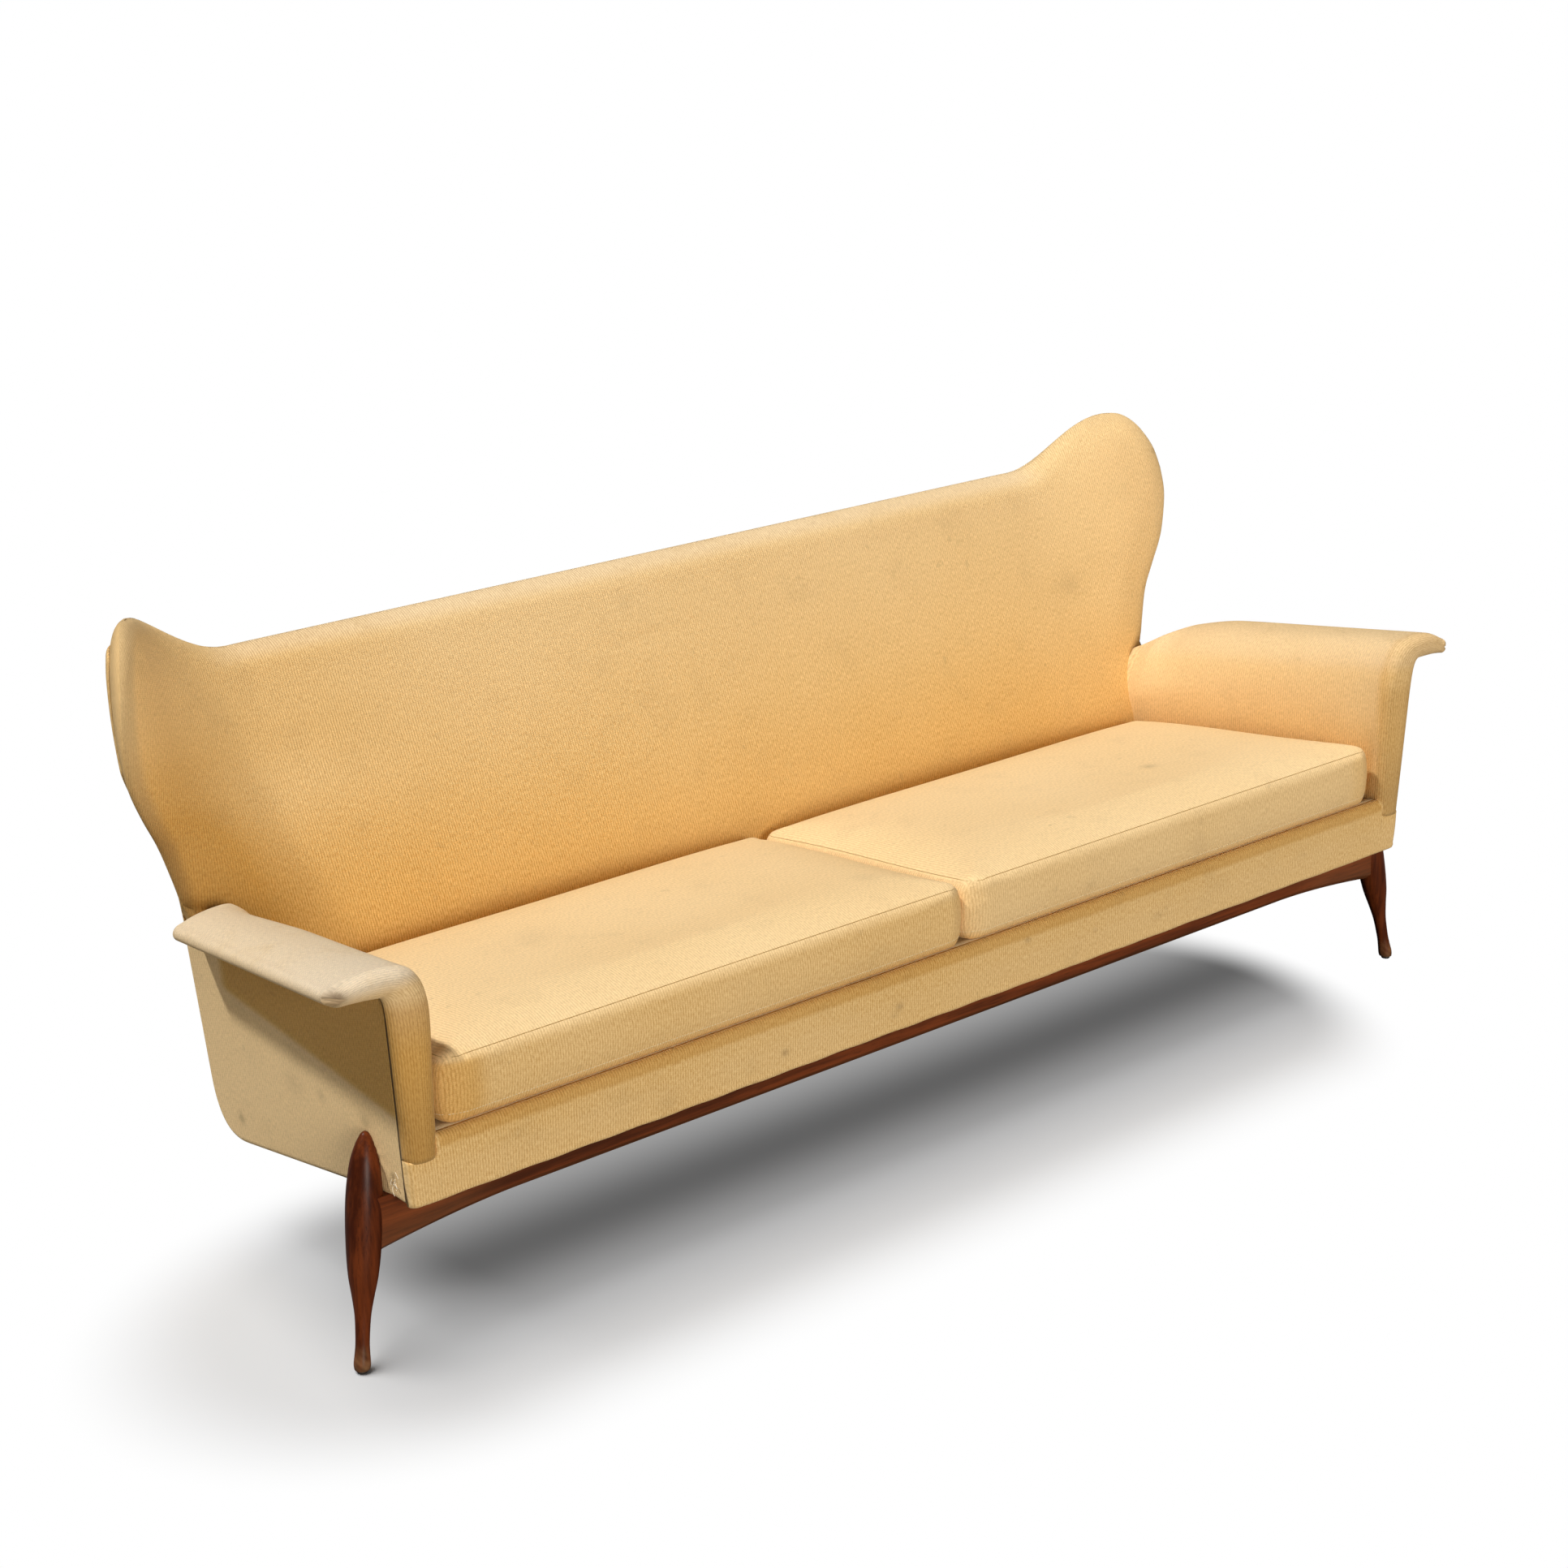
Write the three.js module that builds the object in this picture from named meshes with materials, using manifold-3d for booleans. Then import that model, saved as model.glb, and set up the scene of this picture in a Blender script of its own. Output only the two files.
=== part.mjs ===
// A long two-cushion sofa with a winged back, flared arms and splayed turned legs.
// Sizes are in millimetres and angles in degrees.
// X runs along the sofa, Y to its rear and Z up from the floor.

import * as THREE from 'three';
import { mergeVertices } from 'three/addons/utils/BufferGeometryUtils.js';
import Module from 'manifold-3d';

const wasm = await Module();
wasm.setup();

// Clearances
const gap = 0.3;
const cutOverrun = 40;
const fitClearance = 0.4;

// Body: the leaning outer sides, the underside and the rear edge of each side
const bodyHalfWidth = 1035;
const bodyBottomZ = 247.5;
const sideLean = 3.8;
const undersideKneeY = 57;
const undersideSlope = 11.8;
const seatRearY = 541;
const sideRearSetback = 19;
const sideRearY = seatRearY - sideRearSetback;
const sideRearRise = 5.5;
const sideRearZ = bodyBottomZ + sideRearRise;
const sideRearLean = 10;
const sideCornerRun = 80;
const sideCornerRise = 99;
const coverFrontY = 1.5;
const coverThickness = 14;
const boardThickness = 12;
const boardInset = 10;

// Seat: slope, deck, straps and hardwood rails
const seatSlope = 9.5;
const deckRise = 102.5;
const deckFrontZ = bodyBottomZ + deckRise;
const deckThickness = 4;
const deckEndClearance = 1;
const strapThickness = 3;
const strapWidth = 50;
const strapCount = 8;
const apronThickness = 18;
const apronTopRadius = 12;
const railThickness = 28;
const sideRailThickness = 30;
const railLift = 3;
const rearRailDepth = 86;
const rearRailFrontY = seatRearY - rearRailDepth;
const rearRailDrop = 61.5;
const rearRailBottomZ = bodyBottomZ - rearRailDrop;
const braceHalfWidth = 16;
const braceTopDrop = 25;
const blockSize = 70;
const blockHeight = 30;
const blockDrop = 20;
const dustSheetThickness = 2;

// Arms: inner face, crest, outward flare and front strip
const armInset = 47;
const armInnerX = bodyHalfWidth - armInset;
const armSeatDrop = 30;
const armSeatZ = deckFrontZ - armSeatDrop;
const armFrontY = -3;
const armCrestRise = 260;
const armCrestZ = deckFrontZ + armCrestRise;
const armSlope = 9.6;
const armCurveHeight = 95;
const armCrestRun = 54;
const flareFrontReach = 114;
const flareFrontX = bodyHalfWidth + flareFrontReach;
const flareRearReach = 68;
const flareRearX = bodyHalfWidth + flareRearReach;
const flareRearSetback = 40;
const flareRearY = seatRearY - flareRearSetback;
const flareEndLength = 44;
const flareTipThickness = 15;
const flareRootThickness = 22;
const flareDish = 2;
const armRearDepth = 84;
const armRearY = seatRearY + armRearDepth;
const armRearInset = 23;
const armRearHalfWidth = bodyHalfWidth - armRearInset;
const armEdgeRadius = 5;
const armReturnDepth = 10;
const armSeatTaper = 58;
const armCrestTaper = 14;
const armLedgeDepth = 0.5;
const armRearDrop = 28;
const crestRunShare = 0.5;
const crestPullShare = 0.4;
const armBendSteps = 6;
const flareStationShares = [0.12, 0.35, 0.6, 0.82, 1];
const armEndShares = [0.3, 0.6, 1];
const plankThickness = 9;
const plankDrop = 8;
const plankTipInset = 18;
const plankEndInset = 22;

// Back: recline, thickness, wings and ears
const seatRearRise = 25;
const seatRearZ = deckFrontZ + seatRearRise;
const backFootLean = 2;
const backRecline = 26.3;
const backKneeSoftness = 24;
const backThickness = 61;
const rearKneeRise = 75;
const rearKneeZ = seatRearZ + rearKneeRise;
const rearFootLean = 11;
const rearKneeSoftness = 60;
const backBottomDrop = 47.5;
const backBottomZ = bodyBottomZ - backBottomDrop;
const neckDrop = 122;
const neckZ = armCrestZ - neckDrop;
const backTopRise = 325.5;
const backTopZ = neckZ + backTopRise;
const slabInset = 27;
const slabHalfWidth = bodyHalfWidth - slabInset;
const slabShoulderDrop = 38;
const slabShoulderZ = neckZ - slabShoulderDrop;
const wingRun = 208;
const wingStartX = slabHalfWidth - wingRun;
const wingBendRadius = 294;
const wingBendPower = 0.7;
const neckReach = 12;
const neckX = slabHalfWidth + neckReach;
const wingReach = 106;
const wingReachX = neckX + wingReach;
const earStartRun = 25;
const earStartX = wingStartX + earStartRun;
const earTipSetback = 66;
const earTipX = wingReachX - earTipSetback;
const earTipRise = 94.5;
const earTipZ = backTopZ + earTipRise;
const rollRadius = 30;
const rearPanelThickness = 5;
const rearPanelInset = 34;
const backRailHeight = 60;
const backRailDepth = 22;
const backFrameInset = 28;
const backFrameMargin = 34;
const postHalfWidth = 24;
const postClearance = 16;
const postX = wingStartX - postHalfWidth - postClearance;
const wingBoardMargin = 38;
const wingBoardThickness = 10;
const pocketClearance = 3;

// Loose cushions
const cushionFrontY = 10;
const cushionRise = 105;
const cushionTopZ = deckFrontZ + cushionRise;
const cushionArmClearance = 16;
const cushionOuterX = armInnerX - cushionArmClearance;
const cushionGap = 4;
const cushionRearClearance = 6;
const cushionCornerRadius = 36;
const cushionCrown = 14;
const cushionSideBulge = 5;
const cushionSeamInset = 2;
const cushionColumns = 14;
const cushionRows = 10;
const cushionLayers = 4;

// Front legs and the haunched front rail
const frontFootReach = 65;
const frontFootX = bodyHalfWidth + frontFootReach;
const frontFootY = 51;
const frontLegTopReach = 10;
const frontLegTopX = bodyHalfWidth + frontLegTopReach;
const frontLegTopY = 100;
const frontLegTopRise = 87.5;
const frontLegTopZ = bodyBottomZ + frontLegTopRise;
const frontLegRadius = 26;
const frontRailY = 62;
const frontRailThickness = 36;
const frontRailDrop = 60.5;
const frontRailLowZ = bodyBottomZ - frontRailDrop;
const frontRailChamfer = 13;
const haunchRun = 145;
const haunchStartX = bodyHalfWidth - haunchRun;
const haunchDrop = 46;
const haunchPower = 2.2;
const haunchSeatShare = 0.75;
const haunchSteps = 9;
const legBoltRadius = 4;
const legBoltHeadRadius = 8;
const legBoltHeadHeight = 5;
const legBoltRise = 26.5;
const legBoltZ = bodyBottomZ + legBoltRise;
const legBoltDepth = 22;

// Rear legs, their plates and the glides
const rearLegInset = 335;
const rearLegTopX = bodyHalfWidth - rearLegInset;
const rearLegSetback = 59;
const rearLegTopY = seatRearY - rearLegSetback;
const rearFootSplay = 20;
const rearFootX = rearLegTopX + rearFootSplay;
const rearFootRake = 50;
const rearFootY = rearLegTopY + rearFootRake;
const rearLegTopRadius = 21;
const rearLegFootRadius = 12;
const legPlateWidth = 76;
const legPlateDepth = 50;
const legPlateThickness = 3;
const glideHeight = 5;
const frontGlideRadius = 8;
const rearGlideRadius = 10;

// Outline shares: wing edge from the neck up and out to its widest place, then over to the ear tip
const wingLowShares = [
  [0, 0], [0.1, 0.1], [0.26, 0.226], [0.48, 0.333], [0.7, 0.44], [0.83, 0.529], [0.967, 0.66], [1, 0.769],
];
const wingHighShares = [
  [0.377, 1], [0.52, 0.997], [0.68, 0.977], [0.83, 0.935], [0.962, 0.86], [1, 0.769],
];

// Leg profile shares: radius and height from the sole to the rounded top
const frontLegSteps = 22;
const legSides = 16;
const boltSides = 12;
const glideSides = 14;
const glideSoleShare = 0.8;
const frontLegShares = [
  [0.4, 0.008], [0.46, 0.035], [0.41, 0.085], [0.385, 0.135], [0.44, 0.235], [0.61, 0.32], [0.81, 0.405],
  [0.94, 0.52], [1, 0.655], [0.96, 0.765], [0.8, 0.87], [0.54, 0.94], [0.26, 0.985],
];

const radians = THREE.MathUtils.degToRad;
const slopeOf = (angle) => Math.tan(radians(angle));
const deckZ = (y) => deckFrontZ - slopeOf(seatSlope) * y;
const undersideZ = (y) => bodyBottomZ - slopeOf(undersideSlope) * Math.max(0, y - undersideKneeY);
const outerX = (z) => bodyHalfWidth + slopeOf(sideLean) * (z - bodyBottomZ);
const crestZ = (y) => armCrestZ - slopeOf(armSlope) * Math.max(0, y);
const armBottomZ = (y) => armSeatZ - slopeOf(seatSlope) * y;

// The arms' inner faces and the cushions' ends draw in from the front rail to the back
const frontRailRearY = apronThickness + gap + railThickness;
const armTaper = (y) => THREE.MathUtils.clamp((y - frontRailRearY) / (seatRearY - frontRailRearY), 0, 1);
const armFaceX = (y) => armInnerX - armLedgeDepth - armSeatTaper * armTaper(y);

const boardOffset = coverThickness + gap;
const padOffset = boardOffset + boardThickness + gap;
const railOffset = padOffset + sideRailThickness + gap;

const fabricColour = 0xe2bd80;
const walnutColour = 0x4b2819;
const beechColour = 0xc9a06c;
const plywoodColour = 0xb98d5c;
const steelColour = 0x8d8f92;
const rubberColour = 0x2a2623;

const sofa = new THREE.Group();
const finish = (color, roughness, metalness = 0) => {
  return new THREE.MeshStandardMaterial({ color, roughness, metalness });
};
const fabric = () => finish(fabricColour, 0.95);
const walnut = () => finish(walnutColour, 0.4);
const beech = () => finish(beechColour, 0.8);
const plywood = () => finish(plywoodColour, 0.85);

function piece(name, geometry, material) {
  const mesh = new THREE.Mesh(geometry, material);
  mesh.name = name;
  sofa.add(mesh);
  return mesh;
}

// Solids: join and cut closed meshes
function solidOf(geometry) {
  const plain = geometry.clone();
  plain.deleteAttribute('normal');
  plain.deleteAttribute('uv');
  const merged = mergeVertices(plain, 1e-4);
  return new wasm.Manifold(new wasm.Mesh({
    numProp: 3,
    vertProperties: new Float32Array(merged.attributes.position.array),
    triVerts: new Uint32Array(merged.index.array),
  }));
}

function geometryOf(solid) {
  const mesh = solid.getMesh();
  const geometry = new THREE.BufferGeometry();
  geometry.setAttribute('position', new THREE.BufferAttribute(mesh.vertProperties, 3));
  geometry.setIndex(new THREE.BufferAttribute(mesh.triVerts, 1));
  geometry.computeVertexNormals();
  return geometry;
}

function placed(tool) {
  if (!tool.isMesh) return tool.clone();
  tool.updateWorldMatrix(true, false);
  return tool.geometry.clone().applyMatrix4(tool.matrixWorld);
}

function carve(mesh, ...tools) {
  mesh.updateWorldMatrix(true, false);
  const inverse = mesh.matrixWorld.clone().invert();
  let body = solidOf(mesh.geometry);
  for (const tool of tools) body = body.subtract(solidOf(placed(tool).applyMatrix4(inverse)));
  mesh.geometry = geometryOf(largestBody(body));
}

// A cut can leave crumbs at its edge: the piece is the largest body
function largestBody(solid) {
  return solid.decompose().reduce((best, body) => (body.volume() > best.volume() ? body : best));
}

function keepWithin(mesh, tool) {
  mesh.updateWorldMatrix(true, false);
  const inverse = mesh.matrixWorld.clone().invert();
  const space = solidOf(placed(tool).applyMatrix4(inverse));
  mesh.geometry = geometryOf(solidOf(mesh.geometry).intersect(space));
}

function mirrored(geometry) {
  const copy = geometry.index ? geometry.toNonIndexed() : geometry.clone();
  const place = copy.attributes.position;
  for (let i = 0; i < place.count; i += 3) {
    const corners = [0, 2, 1].map((k) => new THREE.Vector3().fromBufferAttribute(place, i + k));
    corners.forEach((p, k) => place.setXYZ(i + k, -p.x, p.y, p.z));
  }
  copy.deleteAttribute('normal');
  copy.deleteAttribute('uv');
  return mergeVertices(copy, 1e-4);
}

// A pair of handed pieces: the right one is built and the left one mirrors it
function handedPair(name, rightGeometry, material) {
  const right = piece(`${name}_right`, rightGeometry, material());
  return [right, piece(`${name}_left`, mirrored(rightGeometry), material())];
}

function closedMesh(points, faces) {
  let volume = 0;
  const cross = new THREE.Vector3();
  for (const [a, b, c] of faces) volume += points[a].dot(cross.crossVectors(points[b], points[c]));
  const turned = volume < 0 ? faces.map(([a, b, c]) => [a, c, b]) : faces;
  const geometry = new THREE.BufferGeometry();
  const places = points.flatMap((p) => p.toArray());
  geometry.setAttribute('position', new THREE.Float32BufferAttribute(places, 3));
  geometry.setIndex(turned.flat());
  geometry.computeVertexNormals();
  return geometry;
}

// Triangles of a flat end ring, in the ring's own direction
function capFaces(ring) {
  const normal = new THREE.Vector3();
  ring.forEach((p, i) => normal.add(new THREE.Vector3().crossVectors(p, ring[(i + 1) % ring.length])));
  const size = normal.toArray().map(Math.abs);
  const drop = size.indexOf(Math.max(...size));
  const keep = [0, 1, 2].filter((axis) => axis !== drop);
  const flat = ring.map((p) => new THREE.Vector2(p.getComponent(keep[0]), p.getComponent(keep[1])));
  const ringTurn = Math.sign(THREE.ShapeUtils.area(flat));
  return THREE.ShapeUtils.triangulateShape(flat, []).map(([a, b, c]) => {
    const turn = Math.sign(THREE.ShapeUtils.area([flat[a], flat[b], flat[c]]));
    return turn === ringTurn ? [a, b, c] : [a, c, b];
  });
}

// A closed body through rings of equally many points
function loft(rings) {
  const count = rings[0].length;
  const last = (rings.length - 1) * count;
  const faces = [];
  for (let k = 0; k + 1 < rings.length; k += 1) {
    for (let i = 0; i < count; i += 1) {
      const a = k * count + i;
      const b = k * count + (i + 1) % count;
      faces.push([a, b, b + count], [a, b + count, a + count]);
    }
  }
  capFaces(rings[0]).forEach(([a, b, c]) => faces.push([a, c, b]));
  capFaces(rings[rings.length - 1]).forEach(([a, b, c]) => faces.push([a + last, b + last, c + last]));
  return closedMesh(rings.flat(), faces);
}

// A YZ outline run along X between two places
function alongX(outline, fromX, toX) {
  return loft([fromX, toX].map((x) => outline.map(([y, z]) => new THREE.Vector3(x, y, z))));
}

// A YZ outline run along X, both faces leaning with the body's side
function alongSide(outline, fromOffset, toOffset) {
  return loft([fromOffset, toOffset].map((offset) => {
    return outline.map(([y, z]) => new THREE.Vector3(outerX(z) + offset, y, z));
  }));
}

// The space between the leaning sides, drawn in by an offset
function betweenSides(offset) {
  const low = outerX(0) - offset;
  const high = outerX(earTipZ) - offset;
  const corners = [[-low, 0], [low, 0], [high, earTipZ], [-high, earTipZ]];
  return loft([-cutOverrun, armRearY + cutOverrun].map((y) => {
    return corners.map(([x, z]) => new THREE.Vector3(x, y, z));
  }));
}

// Sloping block: vertical ends, sloping top and bottom
function slopingOutline(fromY, toY, bottomZ, topZ) {
  return [[fromY, bottomZ(fromY)], [toY, bottomZ(toY)], [toY, topZ(toY)], [fromY, topZ(fromY)]];
}

// Outline of a side in YZ, drawn in by an inset
function sideOutline(inset) {
  const rearY = (z) => sideRearY + slopeOf(sideRearLean) * (z - sideRearZ) - inset;
  const lowZ = (y) => undersideZ(y) + inset;
  const topZ = (y) => crestZ(y) - flareRootThickness - gap - inset;
  let cornerZ = sideRearZ;
  for (let pass = 0; pass < 8; pass += 1) cornerZ = lowZ(rearY(cornerZ));
  const cornerY = rearY(cornerZ);
  let topRearZ = sideRearZ;
  for (let pass = 0; pass < 8; pass += 1) topRearZ = topZ(rearY(topRearZ));
  const curve = new THREE.QuadraticBezierCurve(
    new THREE.Vector2(cornerY - sideCornerRun, lowZ(cornerY - sideCornerRun)),
    new THREE.Vector2(cornerY, cornerZ),
    new THREE.Vector2(rearY(cornerZ + sideCornerRise), cornerZ + sideCornerRise),
  );
  const frontY = coverFrontY + inset;
  return [
    [frontY, lowZ(frontY)],
    [undersideKneeY, lowZ(undersideKneeY)],
    ...curve.getPoints(8).map((p) => [p.x, p.y]),
    [rearY(topRearZ), topRearZ],
    [frontY, topZ(frontY)],
  ];
}

// Back sheet: the inner and rear faces, bent where they meet the seat
function softBend(z, kneeZ, lowLean, highLean, softness) {
  const rise = z - kneeZ;
  const ramp = (rise + Math.hypot(rise, softness)) / 2;
  return slopeOf(lowLean) * rise + (slopeOf(highLean) - slopeOf(lowLean)) * ramp;
}

const innerY = (z) => seatRearY + softBend(z, seatRearZ, backFootLean, backRecline, backKneeSoftness);
const rearKneeY = seatRearY + slopeOf(backRecline) * (rearKneeZ - seatRearZ) + backThickness;
const rearY = (z) => rearKneeY + softBend(z, rearKneeZ, rearFootLean, backRecline, rearKneeSoftness);

// Wing edge in the unrolled sheet
const wingEdgeSteps = 40;
const wingPoint = ([across, up]) => new THREE.Vector2(
  THREE.MathUtils.lerp(neckX, wingReachX, across),
  THREE.MathUtils.lerp(neckZ, earTipZ, up),
);
const wingLow = new THREE.SplineCurve(wingLowShares.map(wingPoint)).getPoints(wingEdgeSteps);
const wingHigh = new THREE.SplineCurve(wingHighShares.map(wingPoint)).getPoints(wingEdgeSteps);

function heightOn(line, x) {
  for (let i = 1; i < line.length; i += 1) {
    if (x <= line[i].x) {
      const share = (x - line[i - 1].x) / (line[i].x - line[i - 1].x);
      return THREE.MathUtils.lerp(line[i - 1].y, line[i].y, THREE.MathUtils.clamp(share, 0, 1));
    }
  }
  return line[line.length - 1].y;
}

const earRise = (x) => THREE.MathUtils.smoothstep(x, earStartX, earTipX) * (earTipZ - backTopZ);
const sheetTopZ = (x) => (x < earTipX ? backTopZ + earRise(x) : heightOn(wingHigh, x));
const shoulder = [new THREE.Vector2(slabHalfWidth, slabShoulderZ), new THREE.Vector2(neckX, neckZ)];

function sheetBottomZ(x) {
  if (x <= slabHalfWidth) return backBottomZ;
  return x < neckX ? heightOn(shoulder, x) : heightOn(wingLow, x);
}

const topSteps = 24;
const topEdge = Array.from({ length: topSteps + 1 }, (_, i) => {
  const x = earTipX * i / topSteps;
  return new THREE.Vector2(x, sheetTopZ(x));
});
const rolledEdge = [...topEdge, ...wingHigh.slice(1), ...wingLow.slice().reverse().slice(1)];

function edgeDistance(x, z) {
  let nearest = Infinity;
  for (let i = 1; i < rolledEdge.length; i += 1) {
    const from = rolledEdge[i - 1];
    const span = new THREE.Vector2().subVectors(rolledEdge[i], from);
    const toPoint = new THREE.Vector2(x - from.x, z - from.y);
    const share = THREE.MathUtils.clamp(toPoint.dot(span) / span.lengthSq(), 0, 1);
    nearest = Math.min(nearest, toPoint.addScaledVector(span, -share).length());
  }
  return nearest;
}

function wingCurvature(z) {
  const share = THREE.MathUtils.clamp((z - neckZ) / (earTipZ - neckZ), 0, 1);
  return share ** wingBendPower / wingBendRadius;
}

// A place on the sheet: run along the unrolled sheet, height, and depth from the middle surface
function sheetPlace(run, z, depth) {
  const side = run < 0 ? -1 : 1;
  const beyond = Math.max(0, Math.abs(run) - wingStartX);
  const curvature = wingCurvature(z);
  const angle = curvature * beyond;
  const straight = angle < 1e-6;
  const across = straight ? beyond : Math.sin(angle) / curvature;
  const forward = straight ? 0 : (1 - Math.cos(angle)) / curvature;
  const middle = (innerY(z) + rearY(z)) / 2;
  return new THREE.Vector3(
    side * (Math.min(Math.abs(run), wingStartX) + across + depth * Math.sin(angle)),
    middle - forward + depth * Math.cos(angle),
    z,
  );
}

function halfThickness(run, z) {
  const share = Math.min(1, edgeDistance(Math.abs(run), z) / rollRadius);
  return (rearY(z) - innerY(z)) / 2 * Math.sqrt(1 - (1 - share) ** 2);
}

const edgeShares = [0.07, 0.28, 0.62, 1];
const edgeReachShare = 0.42;
const innerSteps = 10;

function columnHeights(low, high, edge) {
  const reach = Math.min(edge, (high - low) * edgeReachShare);
  const inner = Array.from({ length: innerSteps - 1 }, (_, i) => {
    return low + reach + (high - low - 2 * reach) * (i + 1) / innerSteps;
  });
  const lower = edgeShares.map((share) => low + reach * share);
  const upper = edgeShares.map((share) => high - reach * share).reverse();
  return [...lower, ...inner, ...upper];
}

function mirroredRuns(runs) {
  return [...runs.map((run) => -run).reverse(), 0, ...runs];
}

const wingSteps = 6;
const wingRuns = Array.from({ length: wingSteps }, (_, i) => {
  const share = Math.sin(Math.PI / 2 * (i + 1) / (wingSteps + 0.5));
  return neckX + (wingReachX - neckX) * share;
});
const bendSteps = 5;
const bendRuns = Array.from({ length: bendSteps + 1 }, (_, i) => {
  return wingStartX + (slabHalfWidth - wingStartX) * i / bendSteps;
});
const backRuns = mirroredRuns([wingStartX / 2, ...bendRuns, slabHalfWidth + gap * 4, neckX, ...wingRuns]);

function backBody() {
  return loft(backRuns.map((run) => {
    const low = sheetBottomZ(Math.abs(run));
    const high = sheetTopZ(Math.abs(run));
    const heights = columnHeights(low, high, rollRadius);
    return [
      sheetPlace(run, low, 0),
      ...heights.map((z) => sheetPlace(run, z, -halfThickness(run, z))),
      sheetPlace(run, high, 0),
      ...heights.slice().reverse().map((z) => sheetPlace(run, z, halfThickness(run, z))),
    ];
  }));
}

// A curved plate that follows the sheet between two depths
function sheetPlate(runs, lowAt, highAt, frontDepth, rearDepth, steps) {
  return loft(runs.map((run) => {
    const low = lowAt(Math.abs(run));
    const high = highAt(Math.abs(run));
    const heights = Array.from({ length: steps + 1 }, (_, i) => low + (high - low) * i / steps);
    return [
      ...heights.map((z) => sheetPlace(run, z, frontDepth(z))),
      ...heights.slice().reverse().map((z) => sheetPlace(run, z, rearDepth(z))),
    ];
  }));
}

const rearDepth = (z) => (rearY(z) - innerY(z)) / 2;

// Back frame: rails, posts and curved wing boards let into the pad from behind
function buildBack() {
  const pad = piece('back_pad', backBody(), fabric());
  const pockets = [];
  const frameTopZ = backTopZ - backFrameMargin;
  const railTopLowZ = frameTopZ - backRailHeight;
  const railLowZ = backBottomZ + gap;
  const railLowTopZ = railLowZ + backRailHeight;
  const stripShares = [0, 0.25, 0.5, 0.75, 1];
  const strip = (lowZ, highZ, fromDepth, toDepth) => {
    const levels = stripShares.map((share) => THREE.MathUtils.lerp(lowZ, highZ, share));
    return [
      ...levels.map((z) => [innerY(z) + fromDepth(z), z]),
      ...levels.slice().reverse().map((z) => [innerY(z) + toDepth(z), z]),
    ];
  };
  const front = () => backFrameInset;
  const behind = () => backFrameInset + backRailDepth;
  const past = (z) => rearY(z) - innerY(z) + cutOverrun;
  const member = (name, lowZ, highZ, fromX, toX) => {
    piece(name, alongX(strip(lowZ, highZ, front, behind), fromX, toX), beech());
    const cut = strip(lowZ - gap, highZ + gap, (z) => front(z) - gap, past);
    pockets.push(alongX(cut, fromX - gap, toX + gap));
  };
  const railHalf = postX + postHalfWidth;
  member('back_top_rail', railTopLowZ, frameTopZ, -railHalf, railHalf);
  member('back_bottom_rail', railLowZ, railLowTopZ, -railHalf, railHalf);
  const posts = { left: -postX, middle: 0, right: postX };
  const postLowZ = railLowTopZ + gap;
  const postHighZ = railTopLowZ - gap;
  for (const [place, x] of Object.entries(posts)) {
    member(`back_post_${place}`, postLowZ, postHighZ, x - postHalfWidth, x + postHalfWidth);
  }

  const boardEnd = wingReachX - wingBoardMargin;
  const boardSteps = 6;
  const boardRuns = Array.from({ length: boardSteps + 1 }, (_, i) => {
    return wingStartX + (boardEnd - wingStartX) * i / boardSteps;
  });
  const boardLow = (x) => Math.max(neckZ, sheetBottomZ(Math.min(x, boardEnd))) + wingBoardMargin;
  const boardHigh = (x) => sheetTopZ(Math.min(x, boardEnd)) - wingBoardMargin;
  const board = sheetPlate(boardRuns, boardLow, boardHigh, () => 0, () => wingBoardThickness, boardSteps);
  handedPair('wing_board', board, plywood);
  const pocketRuns = [
    wingStartX - pocketClearance,
    ...boardRuns.slice(1, -1),
    boardEnd + pocketClearance,
  ];
  const pocketLow = (x) => boardLow(x) - pocketClearance;
  const pocketHigh = (x) => boardHigh(x) + pocketClearance;
  const pocketRear = (z) => rearDepth(z) + cutOverrun / 2;
  const pocketFront = () => -pocketClearance / 2;
  const pocket = sheetPlate(pocketRuns, pocketLow, pocketHigh, pocketFront, pocketRear, boardSteps);
  pockets.push(pocket, mirrored(pocket));
  carve(pad, ...pockets);

  const panelEnd = wingReachX - rearPanelInset;
  const panelSteps = [
    wingStartX / 2,
    ...bendRuns.slice(0, bendSteps),
    slabHalfWidth - rearPanelInset,
    neckX,
    (neckX + panelEnd) / 2,
  ];
  const panelRuns = mirroredRuns([...panelSteps, panelEnd]);
  const panelLow = (x) => {
    if (x < slabHalfWidth) return backBottomZ;
    return sheetBottomZ(Math.min(x, panelEnd)) + rearPanelInset;
  };
  const panelHigh = (x) => sheetTopZ(Math.min(x, panelEnd)) - rearPanelInset;
  const panelFront = (z) => rearDepth(z) + gap;
  const panelRear = (z) => rearDepth(z) + gap + rearPanelThickness;
  const panelLevels = 9;
  const panelSheet = sheetPlate(panelRuns, panelLow, panelHigh, panelFront, panelRear, panelLevels);
  const panel = piece('back_rear_panel', panelSheet, fabric());
  const recessRear = (z) => rearDepth(z) + cutOverrun / 2;
  const recessRuns = mirroredRuns([...panelSteps, panelEnd + pocketClearance]);
  const recessLow = (x) => panelLow(x) - pocketClearance;
  const recessHigh = (x) => panelHigh(x) + pocketClearance;
  const recess = sheetPlate(recessRuns, recessLow, recessHigh, rearDepth, recessRear, panelLevels);
  carve(pad, recess, panel.geometry.clone().translate(0, -fitClearance, 0));
  return pad;
}

// The space that the back takes, from just before its inner face to well behind it
function spacesBehind(backPad) {
  const body = placed(backPad);
  const shifts = [-fitClearance, backThickness / 3, backThickness];
  return shifts.map((shift) => body.clone().translate(0, shift, 0));
}

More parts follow.
